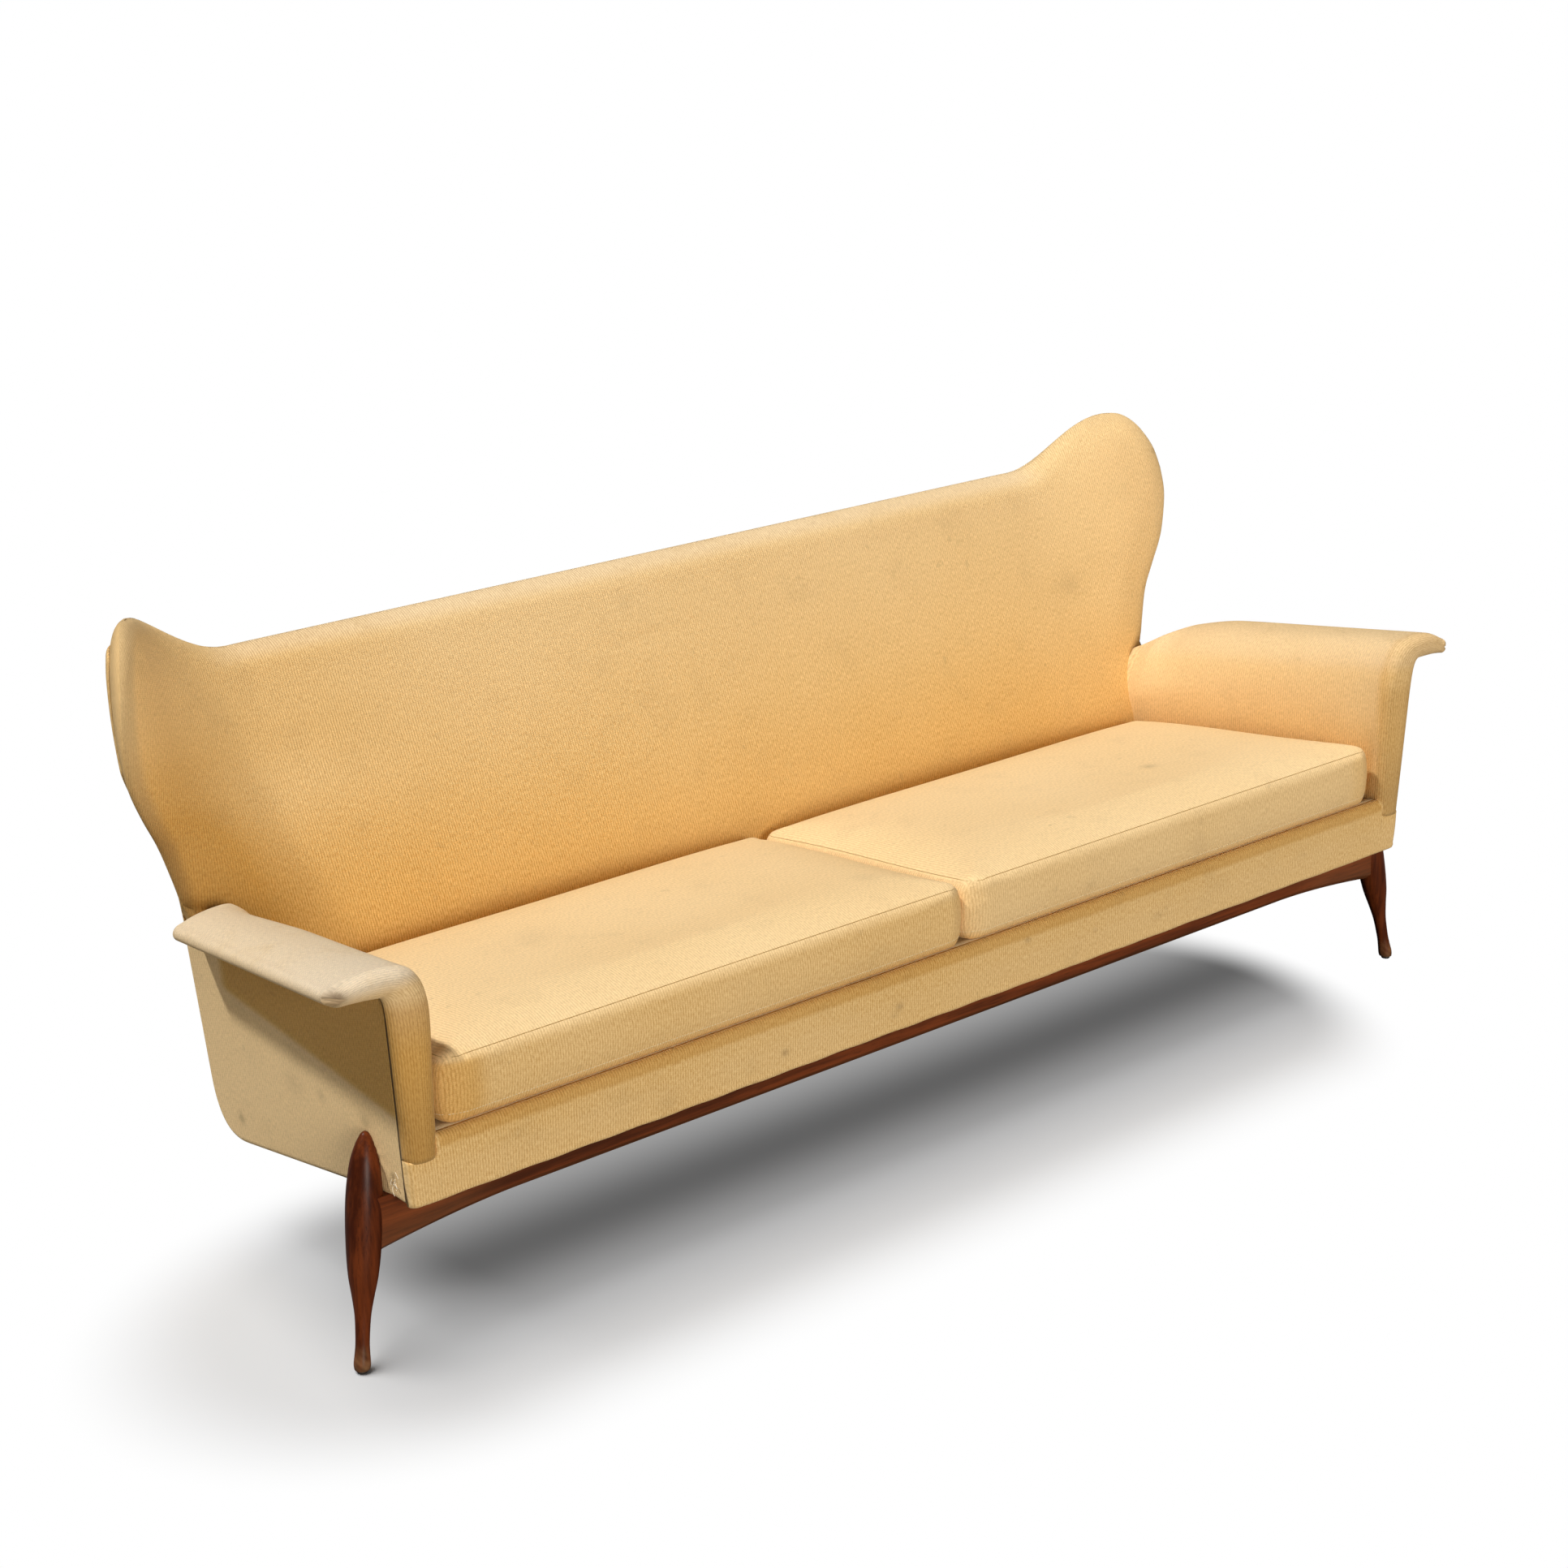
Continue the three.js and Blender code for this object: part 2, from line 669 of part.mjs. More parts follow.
// Arms: a loft from the front strip through the flare to the back
function armSection(y) {
  const crest = crestZ(y) - armRearDrop * THREE.MathUtils.smoothstep(y, flareRearY, armRearY);
  const bottom = armBottomZ(y) + gap;
  const ledgeZ = deckZ(y) + gap;
  const faceX = armFaceX(y);
  const flare = 1 - THREE.MathUtils.smoothstep(y, flareRearY, flareRearY + flareEndLength);
  const narrow = THREE.MathUtils.smoothstep(y, flareRearY, armRearY);
  const wall = (z) => THREE.MathUtils.lerp(outerX(z) - gap, armRearHalfWidth, narrow);
  const rootZ = crest - flareRootThickness;
  const reach = THREE.MathUtils.lerp(flareFrontX, flareRearX, Math.max(0, y) / flareRearY);
  const tip = THREE.MathUtils.lerp(wall(rootZ) + flareDish, reach, flare);
  const fullRun = armInnerX + armCrestRun - armCrestTaper * armTaper(y) - faceX;
  const crestX = faceX + Math.min(fullRun, (tip - faceX) * crestRunShare);
  const edge = flareTipThickness / 2;
  const bend = new THREE.CubicBezierCurve(
    new THREE.Vector2(faceX, crest - armCurveHeight),
    new THREE.Vector2(faceX, crest - armCurveHeight / 3),
    new THREE.Vector2(THREE.MathUtils.lerp(faceX, crestX, crestPullShare), crest - flareDish),
    new THREE.Vector2(crestX, crest),
  ).getPoints(armBendSteps);
  return [
    [armInnerX, bottom],
    [armInnerX, ledgeZ],
    [faceX, ledgeZ],
    ...bend.map((p) => [p.x, p.y]),
    [(crestX + tip) / 2, crest + flareDish / 2],
    [tip - edge, crest],
    [tip, crest - edge],
    [tip - edge, crest - flareTipThickness],
    [wall(rootZ), rootZ],
    [wall(bottom), bottom],
  ];
}

function drawnIn(outline, inset) {
  const count = outline.length;
  return outline.map((point, i) => {
    const before = new THREE.Vector2(...outline[(i + count - 1) % count]);
    const here = new THREE.Vector2(...point);
    const after = new THREE.Vector2(...outline[(i + 1) % count]);
    const inward = new THREE.Vector2().subVectors(after, before).normalize();
    return [here.x + inward.y * inset, here.y - inward.x * inset];
  });
}

function buildArms(backPad) {
  const stations = [
    [armFrontY, armEdgeRadius],
    [armFrontY + armEdgeRadius / 3, armEdgeRadius / 3],
    [armFrontY + armEdgeRadius, 0],
    ...flareStationShares.map((share) => [flareRearY * share, 0]),
    ...armEndShares.map((share) => [flareRearY + flareEndLength * share, 0]),
    [armRearY, 0],
  ];
  const body = loft(stations.map(([y, inset]) => {
    return drawnIn(armSection(y), inset).map(([x, z]) => new THREE.Vector3(x, y, z));
  }));
  const backSpaces = spacesBehind(backPad);
  const coverSpace = alongSide(sideOutline(-gap), -boardOffset, cutOverrun);
  const boardTopZ = (y) => crestZ(y) - plankDrop - plankThickness - gap;
  // The last two points of a side's outline are its top, which the board has lower down
  const toppedAt = (outline, lift) => outline.map(([y, z], i, all) => {
    return i < all.length - 2 ? [y, z] : [y, boardTopZ(y) + lift];
  });
  const boardOutline = toppedAt(sideOutline(boardInset), 0);
  const boardCut = toppedAt(sideOutline(boardInset - gap), gap);
  const boardSpace = alongSide(boardCut, -padOffset, -coverThickness);
  const plank = (grow) => loft([plankEndInset - grow, flareRearY - plankEndInset + grow].map((y) => {
    const top = crestZ(y) - plankDrop + grow;
    const low = crestZ(y) - plankDrop - plankThickness - grow;
    const reach = THREE.MathUtils.lerp(flareFrontX, flareRearX, y / flareRearY) - plankTipInset + grow;
    const root = outerX(low) - padOffset + gap - grow;
    const corners = [[root, low], [reach, low], [reach, top], [root, top]];
    return corners.map(([x, z]) => new THREE.Vector3(x, y, z));
  }));
  const sideSpaces = [coverSpace, boardSpace, plank(gap)];
  const [rightPad, leftPad] = handedPair('arm_pad', body, fabric);
  carve(rightPad, ...backSpaces, ...sideSpaces);
  carve(leftPad, ...backSpaces, ...sideSpaces.map(mirrored));
  const levels = [0, 0.5, 0.75, 1].map((share) => armCrestZ * share);
  const beforeBack = [[-cutOverrun, armCrestZ + cutOverrun], [-cutOverrun, 0],
    ...levels.map((z) => [innerY(z) + armReturnDepth, z]),
    [innerY(armCrestZ) + armReturnDepth, armCrestZ + cutOverrun]];
  const reachX = flareFrontX + cutOverrun;
  for (const pad of [rightPad, leftPad]) keepWithin(pad, alongX(beforeBack, -reachX, reachX));
  handedPair('arm_flare_plank', plank(0), beech);
  const board = alongSide(boardOutline, -boardOffset - boardThickness, -boardOffset);
  const boards = handedPair('arm_board', board, plywood);
  const covers = handedPair('side_cover', alongSide(sideOutline(0), -coverThickness, 0), fabric);
  const behindOutline = slopingOutline(apronThickness + gap, armRearY, () => 0, () => armCrestZ);
  const behindApron = alongX(behindOutline, -flareFrontX, flareFrontX);
  for (const board of boards) keepWithin(board, behindApron);
  for (const mesh of [...boards, ...covers]) carve(mesh, ...backSpaces);
  return { boards, covers };
}

// Seat frame: hardwood rails, brace, glued corner blocks, straps and deck
function buildSeat(backPad) {
  const railTopZ = (y) => deckZ(y) - deckThickness - strapThickness - 2 * gap;
  const railBottomZ = (y) => undersideZ(y) + railLift;
  const inside = betweenSides(railOffset);
  const backSpaces = spacesBehind(backPad);

  const front = piece('seat_rail_front', alongX(
    slopingOutline(apronThickness + gap, frontRailRearY, railBottomZ, railTopZ),
    -bodyHalfWidth,
    bodyHalfWidth,
  ), beech());
  keepWithin(front, inside);
  const rear = piece('seat_rail_rear', alongX(
    slopingOutline(rearRailFrontY, seatRearY, () => rearRailBottomZ, railTopZ),
    -bodyHalfWidth,
    bodyHalfWidth,
  ), beech());
  keepWithin(rear, inside);
  carve(rear, ...backSpaces);

  const sideRail = alongSide(sideOutline(boardInset), -padOffset - sideRailThickness, -padOffset);
  const rails = handedPair('seat_rail', sideRail, beech);
  const underArms = slopingOutline(apronThickness + gap, armRearY, () => 0, armBottomZ);
  for (const rail of rails) {
    keepWithin(rail, alongX(underArms, -flareFrontX, flareFrontX));
    carve(rail, ...backSpaces);
  }

  const braceTopZ = (y) => deckZ(y) - braceTopDrop;
  const brace = slopingOutline(frontRailRearY + gap, rearRailFrontY - gap, railBottomZ, braceTopZ);
  brace.splice(1, 0, [undersideKneeY, railBottomZ(undersideKneeY)]);
  piece('seat_brace', alongX(brace, -braceHalfWidth, braceHalfWidth), beech());

  const blockPlaces = [
    ['front', frontRailRearY + gap, 1, deckZ(frontRailRearY) - blockDrop - blockHeight],
    ['rear', rearRailFrontY - gap, -1, rearRailBottomZ + blockDrop / 2],
  ];
  for (const [end, y, towards, z] of blockPlaces) {
    const blockReach = bodyHalfWidth - outerX(z) + railOffset + blockSize;
    for (const [hand, side] of [['left', -1], ['right', 1]]) {
      const outline = new THREE.Shape([
        new THREE.Vector2(side * bodyHalfWidth, 0),
        new THREE.Vector2(side * (outerX(z) - railOffset - blockSize), 0),
        new THREE.Vector2(side * bodyHalfWidth, towards * blockReach),
      ]);
      const block = piece(
        `corner_block_${end}_${hand}`,
        new THREE.ExtrudeGeometry(outline, { depth: blockHeight, bevelEnabled: false }),
        beech(),
      );
      block.position.set(0, y, z);
      keepWithin(block, inside);
    }
  }

  const strapEndY = seatRearY - railThickness;
  const strapSpan = 2 * (armInnerX - strapWidth);
  const strapLow = (y) => deckZ(y) - deckThickness - gap - strapThickness;
  const strapHigh = (y) => deckZ(y) - deckThickness - gap;
  const strapOutline = slopingOutline(apronThickness + gap, strapEndY, strapLow, strapHigh);
  for (let i = 0; i < strapCount; i += 1) {
    const strap = alongX(strapOutline, -strapWidth / 2, strapWidth / 2);
    const mesh = piece(`seat_strap_${i + 1}`, strap, finish(rubberColour, 0.9));
    mesh.position.x = strapSpan * ((2 * i + 1) / strapCount - 1) / 2;
  }
  const deckRearY = innerY(deckZ(seatRearY)) - deckEndClearance;
  const deckOutline = slopingOutline(apronTopRadius, deckRearY, (y) => deckZ(y) - deckThickness, deckZ);
  const deckHalf = armInnerX - deckEndClearance;
  piece('seat_deck', alongX(deckOutline, -deckHalf, deckHalf), fabric());

  const dustFrontY = frontRailY + frontRailThickness + gap;
  const dustLow = (y) => undersideZ(y) + railLift - gap - dustSheetThickness;
  const dustHigh = (y) => dustLow(y) + dustSheetThickness;
  const dustOutline = slopingOutline(dustFrontY, rearRailFrontY - gap, dustLow, dustHigh);
  const dustSheet = alongX(dustOutline, -bodyHalfWidth, bodyHalfWidth);
  const dust = piece('dust_sheet', dustSheet, finish(rubberColour, 0.95));
  keepWithin(dust, betweenSides(boardOffset));
  return rails;
}

// Apron: the padded front below the cushions, cut back where the arm strips stand on it
function buildApron() {
  const topZ = deckZ(apronTopRadius) - deckThickness - gap;
  const shoulderArc = new THREE.EllipseCurve(
    apronTopRadius, topZ - apronTopRadius, apronTopRadius, apronTopRadius, Math.PI, Math.PI / 2, true,
  ).getPoints(5);
  const outline = [
    [apronThickness, bodyBottomZ],
    [0, bodyBottomZ],
    ...shoulderArc.map((p) => [p.x, p.y]),
    [apronThickness, topZ - slopeOf(seatSlope) * apronThickness],
  ];
  const apron = piece('front_apron', alongX(outline, -bodyHalfWidth, bodyHalfWidth), fabric());
  keepWithin(apron, betweenSides(boardOffset));
  const strip = new THREE.BoxGeometry(cutOverrun * 2, cutOverrun * 2, cutOverrun * 2);
  const stripZ = armBottomZ(apronThickness) - gap + cutOverrun;
  for (const side of [-1, 1]) {
    const tool = new THREE.Mesh(strip);
    tool.position.set(side * (armInnerX - gap + cutOverrun), 0, stripZ);
    carve(apron, tool);
  }
}

// The right cushion: boxed, crowned, rounded at its corners, its outer end drawn in like the arm
function cushionGeometry() {
  const length = cushionOuterX - cushionGap / 2 - 2 * cushionSideBulge;
  const rear = seatRearY - cushionRearClearance - cushionSideBulge;
  const depth = rear - cushionFrontY;
  const lift = slopeOf(seatSlope) * cushionFrontY;
  const thickness = cushionTopZ + lift - deckFrontZ - gap;
  const box = new THREE.BoxGeometry(2, 2, 2, cushionColumns, cushionRows, cushionLayers);
  box.deleteAttribute('normal');
  box.deleteAttribute('uv');
  const geometry = mergeVertices(box);
  const place = geometry.attributes.position;
  const spread = (share) => Math.sin(share * Math.PI / 2);
  const corner = cushionCornerRadius;
  for (let i = 0; i < place.count; i += 1) {
    const u = spread(place.getX(i));
    const v = spread(place.getY(i));
    const w = place.getZ(i);
    const seam = w ** 2 * cushionSeamInset;
    const bulge = (1 - w ** 2) * cushionSideBulge;
    const halfX = length / 2 - seam + bulge * (1 - v ** 4);
    const halfY = depth / 2 - seam + bulge * (1 - u ** 4);
    const y = v * halfY;
    const past = THREE.MathUtils.clamp((Math.abs(y) - halfY + corner) / corner, 0, 1);
    const width = halfX - corner * (1 - Math.sqrt(1 - past ** 2));
    const crown = w > 0 ? w * cushionCrown * (1 - u ** 4) * (1 - v ** 4) : 0;
    const middleY = cushionFrontY + depth / 2;
    const z = deckFrontZ + gap + thickness * (w + 1) / 2 + crown - slopeOf(seatSlope) * (middleY + y);
    const outward = (1 + u * width / halfX) / 2;
    place.setXYZ(i, u * width - armSeatTaper * armTaper(middleY + y) * outward, middleY + y, z);
  }
  geometry.computeVertexNormals();
  return geometry;
}

function buildCushions() {
  const [right, left] = handedPair('seat_cushion', cushionGeometry(), fabric);
  right.position.x = (cushionOuterX + cushionGap / 2) / 2;
  left.position.x = -right.position.x;
}

// Turned legs: a profile in shares, revolved about the leg's own axis
function turned(profile, sides) {
  const onAxis = (point) => new THREE.Vector2(0, point.y);
  const points = [onAxis(profile[0]), ...profile, onAxis(profile[profile.length - 1])];
  return new THREE.LatheGeometry(points, sides).rotateX(Math.PI / 2);
}

function aimed(mesh, foot, top) {
  const direction = new THREE.Vector3().subVectors(top, foot).normalize();
  mesh.position.copy(foot);
  mesh.quaternion.setFromUnitVectors(new THREE.Vector3(0, 0, 1), direction);
  return mesh;
}

function frontLegGeometry(length, grow) {
  const line = new THREE.SplineCurve(frontLegShares.map(([r, h]) => {
    return new THREE.Vector2(frontLegRadius * r + grow, length * h);
  })).getPoints(frontLegSteps);
  return turned(line, legSides);
}

function buildFrontLegs(covers, boards, rails) {
  const haunchTipZ = frontRailLowZ - haunchDrop;
  const axisX = THREE.MathUtils.lerp(frontFootX, frontLegTopX, haunchTipZ / frontLegTopZ);
  const frontRailEndX = axisX - frontLegRadius * haunchSeatShare;
  const topFrontZ = undersideZ(frontRailY) + railLift - gap;
  const railRearY = frontRailY + frontRailThickness;
  const topRearZ = undersideZ(railRearY) + railLift - gap;
  const haunchPlaces = Array.from({ length: haunchSteps }, (_, i) => {
    return haunchStartX + (frontRailEndX - haunchStartX) * i / (haunchSteps - 1);
  });
  const rail = piece('front_rail', loft(mirroredRuns(haunchPlaces).map((x) => {
    const share = Math.max(0, Math.abs(x) - haunchStartX) / (frontRailEndX - haunchStartX);
    const low = frontRailLowZ - haunchDrop * share ** haunchPower;
    return [
      [frontRailY, topFrontZ],
      [frontRailY, low + frontRailChamfer],
      [frontRailY + frontRailChamfer, low],
      [railRearY, low],
      [railRearY, topRearZ],
    ].map(([y, z]) => new THREE.Vector3(x, y, z));
  })), walnut());

  const railSpace = alongX([
    [frontRailY - gap, frontRailLowZ],
    [railRearY + gap, frontRailLowZ],
    [railRearY + gap, topRearZ + gap],
    [frontRailY - gap, topFrontZ + gap],
  ], -frontFootX, frontFootX);
  for (const cover of covers) carve(cover, railSpace);

  for (const [hand, side] of [['left', -1], ['right', 1]]) {
    const foot = new THREE.Vector3(side * frontFootX, frontFootY, 0);
    const top = new THREE.Vector3(side * frontLegTopX, frontLegTopY, frontLegTopZ);
    const length = foot.distanceTo(top);
    const leg = aimed(piece(`front_leg_${hand}`, frontLegGeometry(length, 0), walnut()), foot, top);
    const space = aimed(new THREE.Mesh(frontLegGeometry(length, fitClearance)), foot, top);
    const cover = covers[side > 0 ? 0 : 1];
    const board = boards[side > 0 ? 0 : 1];
    const sideRail = rails[side > 0 ? 0 : 1];
    carve(rail, space);
    carve(cover, space);

    const legAt = new THREE.Vector3().lerpVectors(foot, top, legBoltZ / frontLegTopZ);
    const headX = outerX(legBoltZ) - railOffset + gap;
    const boltLength = outerX(legBoltZ) + legBoltDepth - headX;
    const boltProfile = [
      new THREE.Vector2(legBoltHeadRadius, -legBoltHeadHeight),
      new THREE.Vector2(legBoltHeadRadius, -gap),
      new THREE.Vector2(legBoltRadius, -gap),
      new THREE.Vector2(legBoltRadius, boltLength),
    ];
    const turn = side * Math.PI / 2;
    const boltForm = turned(boltProfile, boltSides);
    const bolt = piece(`front_leg_bolt_${hand}`, boltForm, finish(steelColour, 0.35, 0.9));
    bolt.position.set(side * (headX - gap), legAt.y, legBoltZ);
    bolt.rotation.y = turn;
    const hole = new THREE.Mesh(turned([
      new THREE.Vector2(legBoltRadius + gap, -cutOverrun),
      new THREE.Vector2(legBoltRadius + gap, boltLength + gap),
    ], boltSides));
    hole.position.copy(bolt.position);
    hole.rotation.y = turn;
    for (const mesh of [leg, cover, board, sideRail]) carve(mesh, hole);
    addGlide(`front_glide_${hand}`, foot, top, frontGlideRadius, leg);
  }
}

// Glide: a short disc under the sole, which is cut level above it
function addGlide(name, foot, top, radius, leg) {
  const level = new THREE.Mesh(new THREE.BoxGeometry(cutOverrun * 2, cutOverrun * 2, cutOverrun));
  level.position.set(foot.x, foot.y, glideHeight + gap - cutOverrun / 2);
  carve(leg, level);
  const share = glideHeight / (top.z - foot.z);
  const glide = piece(name, turned([
    new THREE.Vector2(radius * glideSoleShare, 0),
    new THREE.Vector2(radius, glideHeight / 2),
    new THREE.Vector2(radius, glideHeight),
  ], glideSides), finish(rubberColour, 0.6));
  glide.position.lerpVectors(foot, top, share);
  glide.position.z = 0;
}

function buildRearLegs() {
  const plateZ = rearRailBottomZ - gap - legPlateThickness / 2;
  const legTopZ = rearRailBottomZ - 2 * gap - legPlateThickness;
  for (const [hand, side] of [['left', -1], ['right', 1]]) {
    const plate = piece(
      `leg_plate_${hand}`,
      new THREE.BoxGeometry(legPlateWidth, legPlateDepth, legPlateThickness),
      finish(steelColour, 0.4, 0.9),
    );
    plate.position.set(side * rearLegTopX, rearLegTopY, plateZ);
    const foot = new THREE.Vector3(side * rearFootX, rearFootY, 0);
    const top = new THREE.Vector3(side * rearLegTopX, rearLegTopY, legTopZ + rearLegTopRadius);
    const leg = piece(`rear_leg_${hand}`, turned([
      new THREE.Vector2(rearLegFootRadius, 0),
      new THREE.Vector2(rearLegTopRadius, foot.distanceTo(top)),
    ], legSides), walnut());
    aimed(leg, foot, top);
    const level = new THREE.Mesh(new THREE.BoxGeometry(cutOverrun * 4, cutOverrun * 4, cutOverrun * 2));
    level.position.set(top.x, top.y, legTopZ + cutOverrun);
    carve(leg, level);
    addGlide(`rear_glide_${hand}`, foot, top, rearGlideRadius, leg);
  }
}

const backPad = buildBack();
const { boards, covers } = buildArms(backPad);
const sideRails = buildSeat(backPad);
buildApron();
buildCushions();
buildFrontLegs(covers, boards, sideRails);
buildRearLegs();

// The origin is on the floor under the middle of the sofa's box
const box = new THREE.Box3().setFromObject(sofa, true);
sofa.position.y = -(box.min.y + box.max.y) / 2;

export default sofa;
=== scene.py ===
"""Upholstery, wood and stage of a long wingback sofa, built round its fixed frame.

Sizes are in metres. X runs along the sofa, Y to its rear and Z up from the floor. Shapes are drawn
with Y measured from the front of the body, and moved into the frame when they are made.
"""

import math

import bpy
import numpy as np
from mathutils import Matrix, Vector


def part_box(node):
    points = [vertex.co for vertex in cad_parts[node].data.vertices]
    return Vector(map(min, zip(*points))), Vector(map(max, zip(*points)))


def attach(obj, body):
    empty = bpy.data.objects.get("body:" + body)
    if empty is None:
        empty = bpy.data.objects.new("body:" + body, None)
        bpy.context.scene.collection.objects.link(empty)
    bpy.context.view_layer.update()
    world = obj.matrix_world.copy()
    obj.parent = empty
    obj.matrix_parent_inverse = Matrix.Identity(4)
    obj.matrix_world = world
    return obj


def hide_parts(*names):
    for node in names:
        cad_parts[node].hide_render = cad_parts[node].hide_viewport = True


bl_info = {
    "name": "Wingback sofa",
    "version": (1, 0, 0),
    "blender": (4, 5, 0),
    "location": "View3D > Sidebar > Sofa",
    "description": "Builds the upholstery, the wood and the stage of a long wingback sofa",
    "category": "Add Mesh",
}

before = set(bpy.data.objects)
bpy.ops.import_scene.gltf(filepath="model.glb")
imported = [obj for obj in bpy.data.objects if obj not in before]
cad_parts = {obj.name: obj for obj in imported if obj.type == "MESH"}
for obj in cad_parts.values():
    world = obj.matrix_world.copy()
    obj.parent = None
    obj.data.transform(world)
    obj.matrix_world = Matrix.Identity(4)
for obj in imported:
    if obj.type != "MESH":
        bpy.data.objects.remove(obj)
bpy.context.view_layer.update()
FRONT_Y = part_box("front_apron")[0].y

# Body
BODY_HALF = 1.035
BODY_BOTTOM = 0.2475
SIDE_LEAN = math.tan(math.radians(3.8))
UNDERSIDE_KNEE = 0.057
UNDERSIDE_SLOPE = math.tan(math.radians(11.8))
SEAT_SLOPE = math.tan(math.radians(9.5))
DECK_FRONT = 0.350
DECK_REAR = 0.528

# Side covers
SIDE_REAR_Y = 0.556
SIDE_REAR_Z = 0.253
SIDE_REAR_LEAN = math.tan(math.radians(5))
SIDE_CORNER_RUN = 0.080
SIDE_CORNER_RISE = 0.099
COVER_FRONT = 0.0203
COVER_THICKNESS = 0.014
COVER_ROUND = 0.009

# Arms
ARM_INNER = 0.988
ARM_SEAT = 0.3203
ARM_FRONT = -0.003
ARM_CREST = 0.610
ARM_SLOPE = math.tan(math.radians(9.6))
ARM_CURVE = 0.095
ARM_CREST_RUN = 0.054
FLARE_FRONT = 1.149
FLARE_REAR = 1.103
FLARE_REAR_Y = 0.501
FLARE_END = 0.044
FLARE_TIP = 0.024
FLARE_ROOT = 0.038
FLARE_DROOP = 0.006
FLARE_RISE_RIGHT = 0.027
FLARE_CORNER = 0.027
COVER_TOP_DROP = 0.030
ARM_REAR_Y = 0.625
ARM_REAR_HALF = 1.012
ARM_NOSE = 0.022
ARM_RETURN = 0.026
ARM_SEAT_TAPER = 0.058
ARM_CREST_TAPER = 0.014
ARM_REAR_DROP = 0.028
TAPER_START = 0.0463

# Back
SEAT_REAR_Y = 0.541
SEAT_REAR_Z = 0.375
BACK_FOOT_LEAN = math.tan(math.radians(2))
BACK_RECLINE = math.tan(math.radians(26.3))
BACK_KNEE_SOFT = 0.024
BACK_THICKNESS = 0.061
REAR_KNEE_Z = 0.450
REAR_FOOT_LEAN = math.tan(math.radians(11))
REAR_KNEE_SOFT = 0.060
BACK_BOTTOM = 0.200
BACK_TOP = 0.8135
SLAB_HALF = 1.008
SLAB_SHOULDER = 0.450
WING_START = 0.800
WING_BEND_RADIUS = 0.294
WING_BEND_POWER = 0.7
NECK_X = 1.020
NECK_Z = 0.488
WING_REACH = 1.126
EAR_START = 0.825
EAR_TIP_X = 1.060
EAR_TIP_Z = 0.908
ROLL_RADIUS = 0.030
PANEL_THICKNESS = 0.005
PANEL_INSET = 0.034
WING_LOW_SHARES = ((0, 0), (0.1, 0.1), (0.26, 0.226), (0.48, 0.333), (0.7, 0.44), (0.83, 0.529),
                   (0.967, 0.66), (1, 0.769))
WING_HIGH_SHARES = ((0.377, 1), (0.52, 0.997), (0.68, 0.977), (0.83, 0.935), (0.962, 0.86), (1, 0.769))

# Apron
APRON_THICKNESS = 0.018
APRON_TOP_RADIUS = 0.012
APRON_TOP = 0.3478

# Cushions
CUSHION_FRONT = 0.010
CUSHION_TOP = 0.455
CUSHION_OUTER = 0.972
CUSHION_GAP = 0.004
CUSHION_REAR_GAP = 0.006
CUSHION_CORNER = 0.030
CUSHION_CROWN = 0.013
CUSHION_REAR_LIFT = 0.011
CUSHION_SEAM_Z = 0.0165
CUSHION_EDGE = 0.024
CUSHION_LOW_EDGE = 0.012
CUSHION_BELLY = 0.006

# Front legs and rail
LEG_FOOT = np.array([1.100, 0.051, 0.0])
LEG_TOP = np.array([1.045, 0.100, 0.335])
LEG_RADIUS = 0.026
LEG_SHARES = ((0.4, 0.008), (0.46, 0.035), (0.41, 0.085), (0.385, 0.135), (0.44, 0.235), (0.61, 0.32),
              (0.81, 0.405), (0.94, 0.52), (1, 0.655), (0.96, 0.765), (0.8, 0.87), (0.54, 0.94),
              (0.26, 0.985))
RAIL_FRONT = 0.062
RAIL_THICKNESS = 0.036
RAIL_LOW = 0.180
RAIL_CHAMFER = 0.014
HAUNCH_START = 0.820
HAUNCH_DROP = 0.019
HAUNCH_POWER = 1.8
REAR_LEG_FOOT = np.array([0.720, 0.532, 0.0])
REAR_LEG_TOP = np.array([0.700, 0.482, 0.2034])
GLIDE_HEIGHT = 0.005
GAP = 0.0003

# Camera of the photograph's view
CAMERA_PLACE = (-2.877, -2.975, 2.153)
CAMERA_YAW = 39.96
CAMERA_PITCH = 20.41
CAMERA_LENS = 66.52


# Shapes in numbers

def smooth(share):
    share = np.clip(share, 0, 1)
    return share * share * (3 - 2 * share)


def spline(points, steps):
    """Catmull-Rom curve through points, evenly stepped."""
    points = np.array(points, float)
    last = len(points) - 1
    found = []
    for i in range(steps + 1):
        place = last * i / steps
        k = min(int(place), last - 1)
        t = place - k
        a, b = points[max(k - 1, 0)], points[k]
        c, d = points[k + 1], points[min(k + 2, last)]
        v0, v1 = (c - a) / 2, (d - b) / 2
        found.append((2 * b - 2 * c + v0 + v1) * t ** 3 + (3 * c - 3 * b - 2 * v0 - v1) * t ** 2 + v0 * t + b)
    return np.array(found)


def bezier(points, t):
    """Bezier curve of any order at shares t."""
    order = len(points) - 1
    t = np.asarray(t, float)[:, None]
    return sum(math.comb(order, k) * (1 - t) ** (order - k) * t ** k * np.array(p, float)
               for k, p in enumerate(points))


def distance_to_line(places, line):
    """Distance of 2-D places to a polyline."""
    nearest = np.full(len(places), np.inf)
    for a, b in zip(line[:-1], line[1:]):
        span = b - a
        share = np.clip(((places - a) @ span) / max(span @ span, 1e-12), 0, 1)
        nearest = np.minimum(nearest, np.linalg.norm(places - a - share[:, None] * span, axis=1))
    return nearest


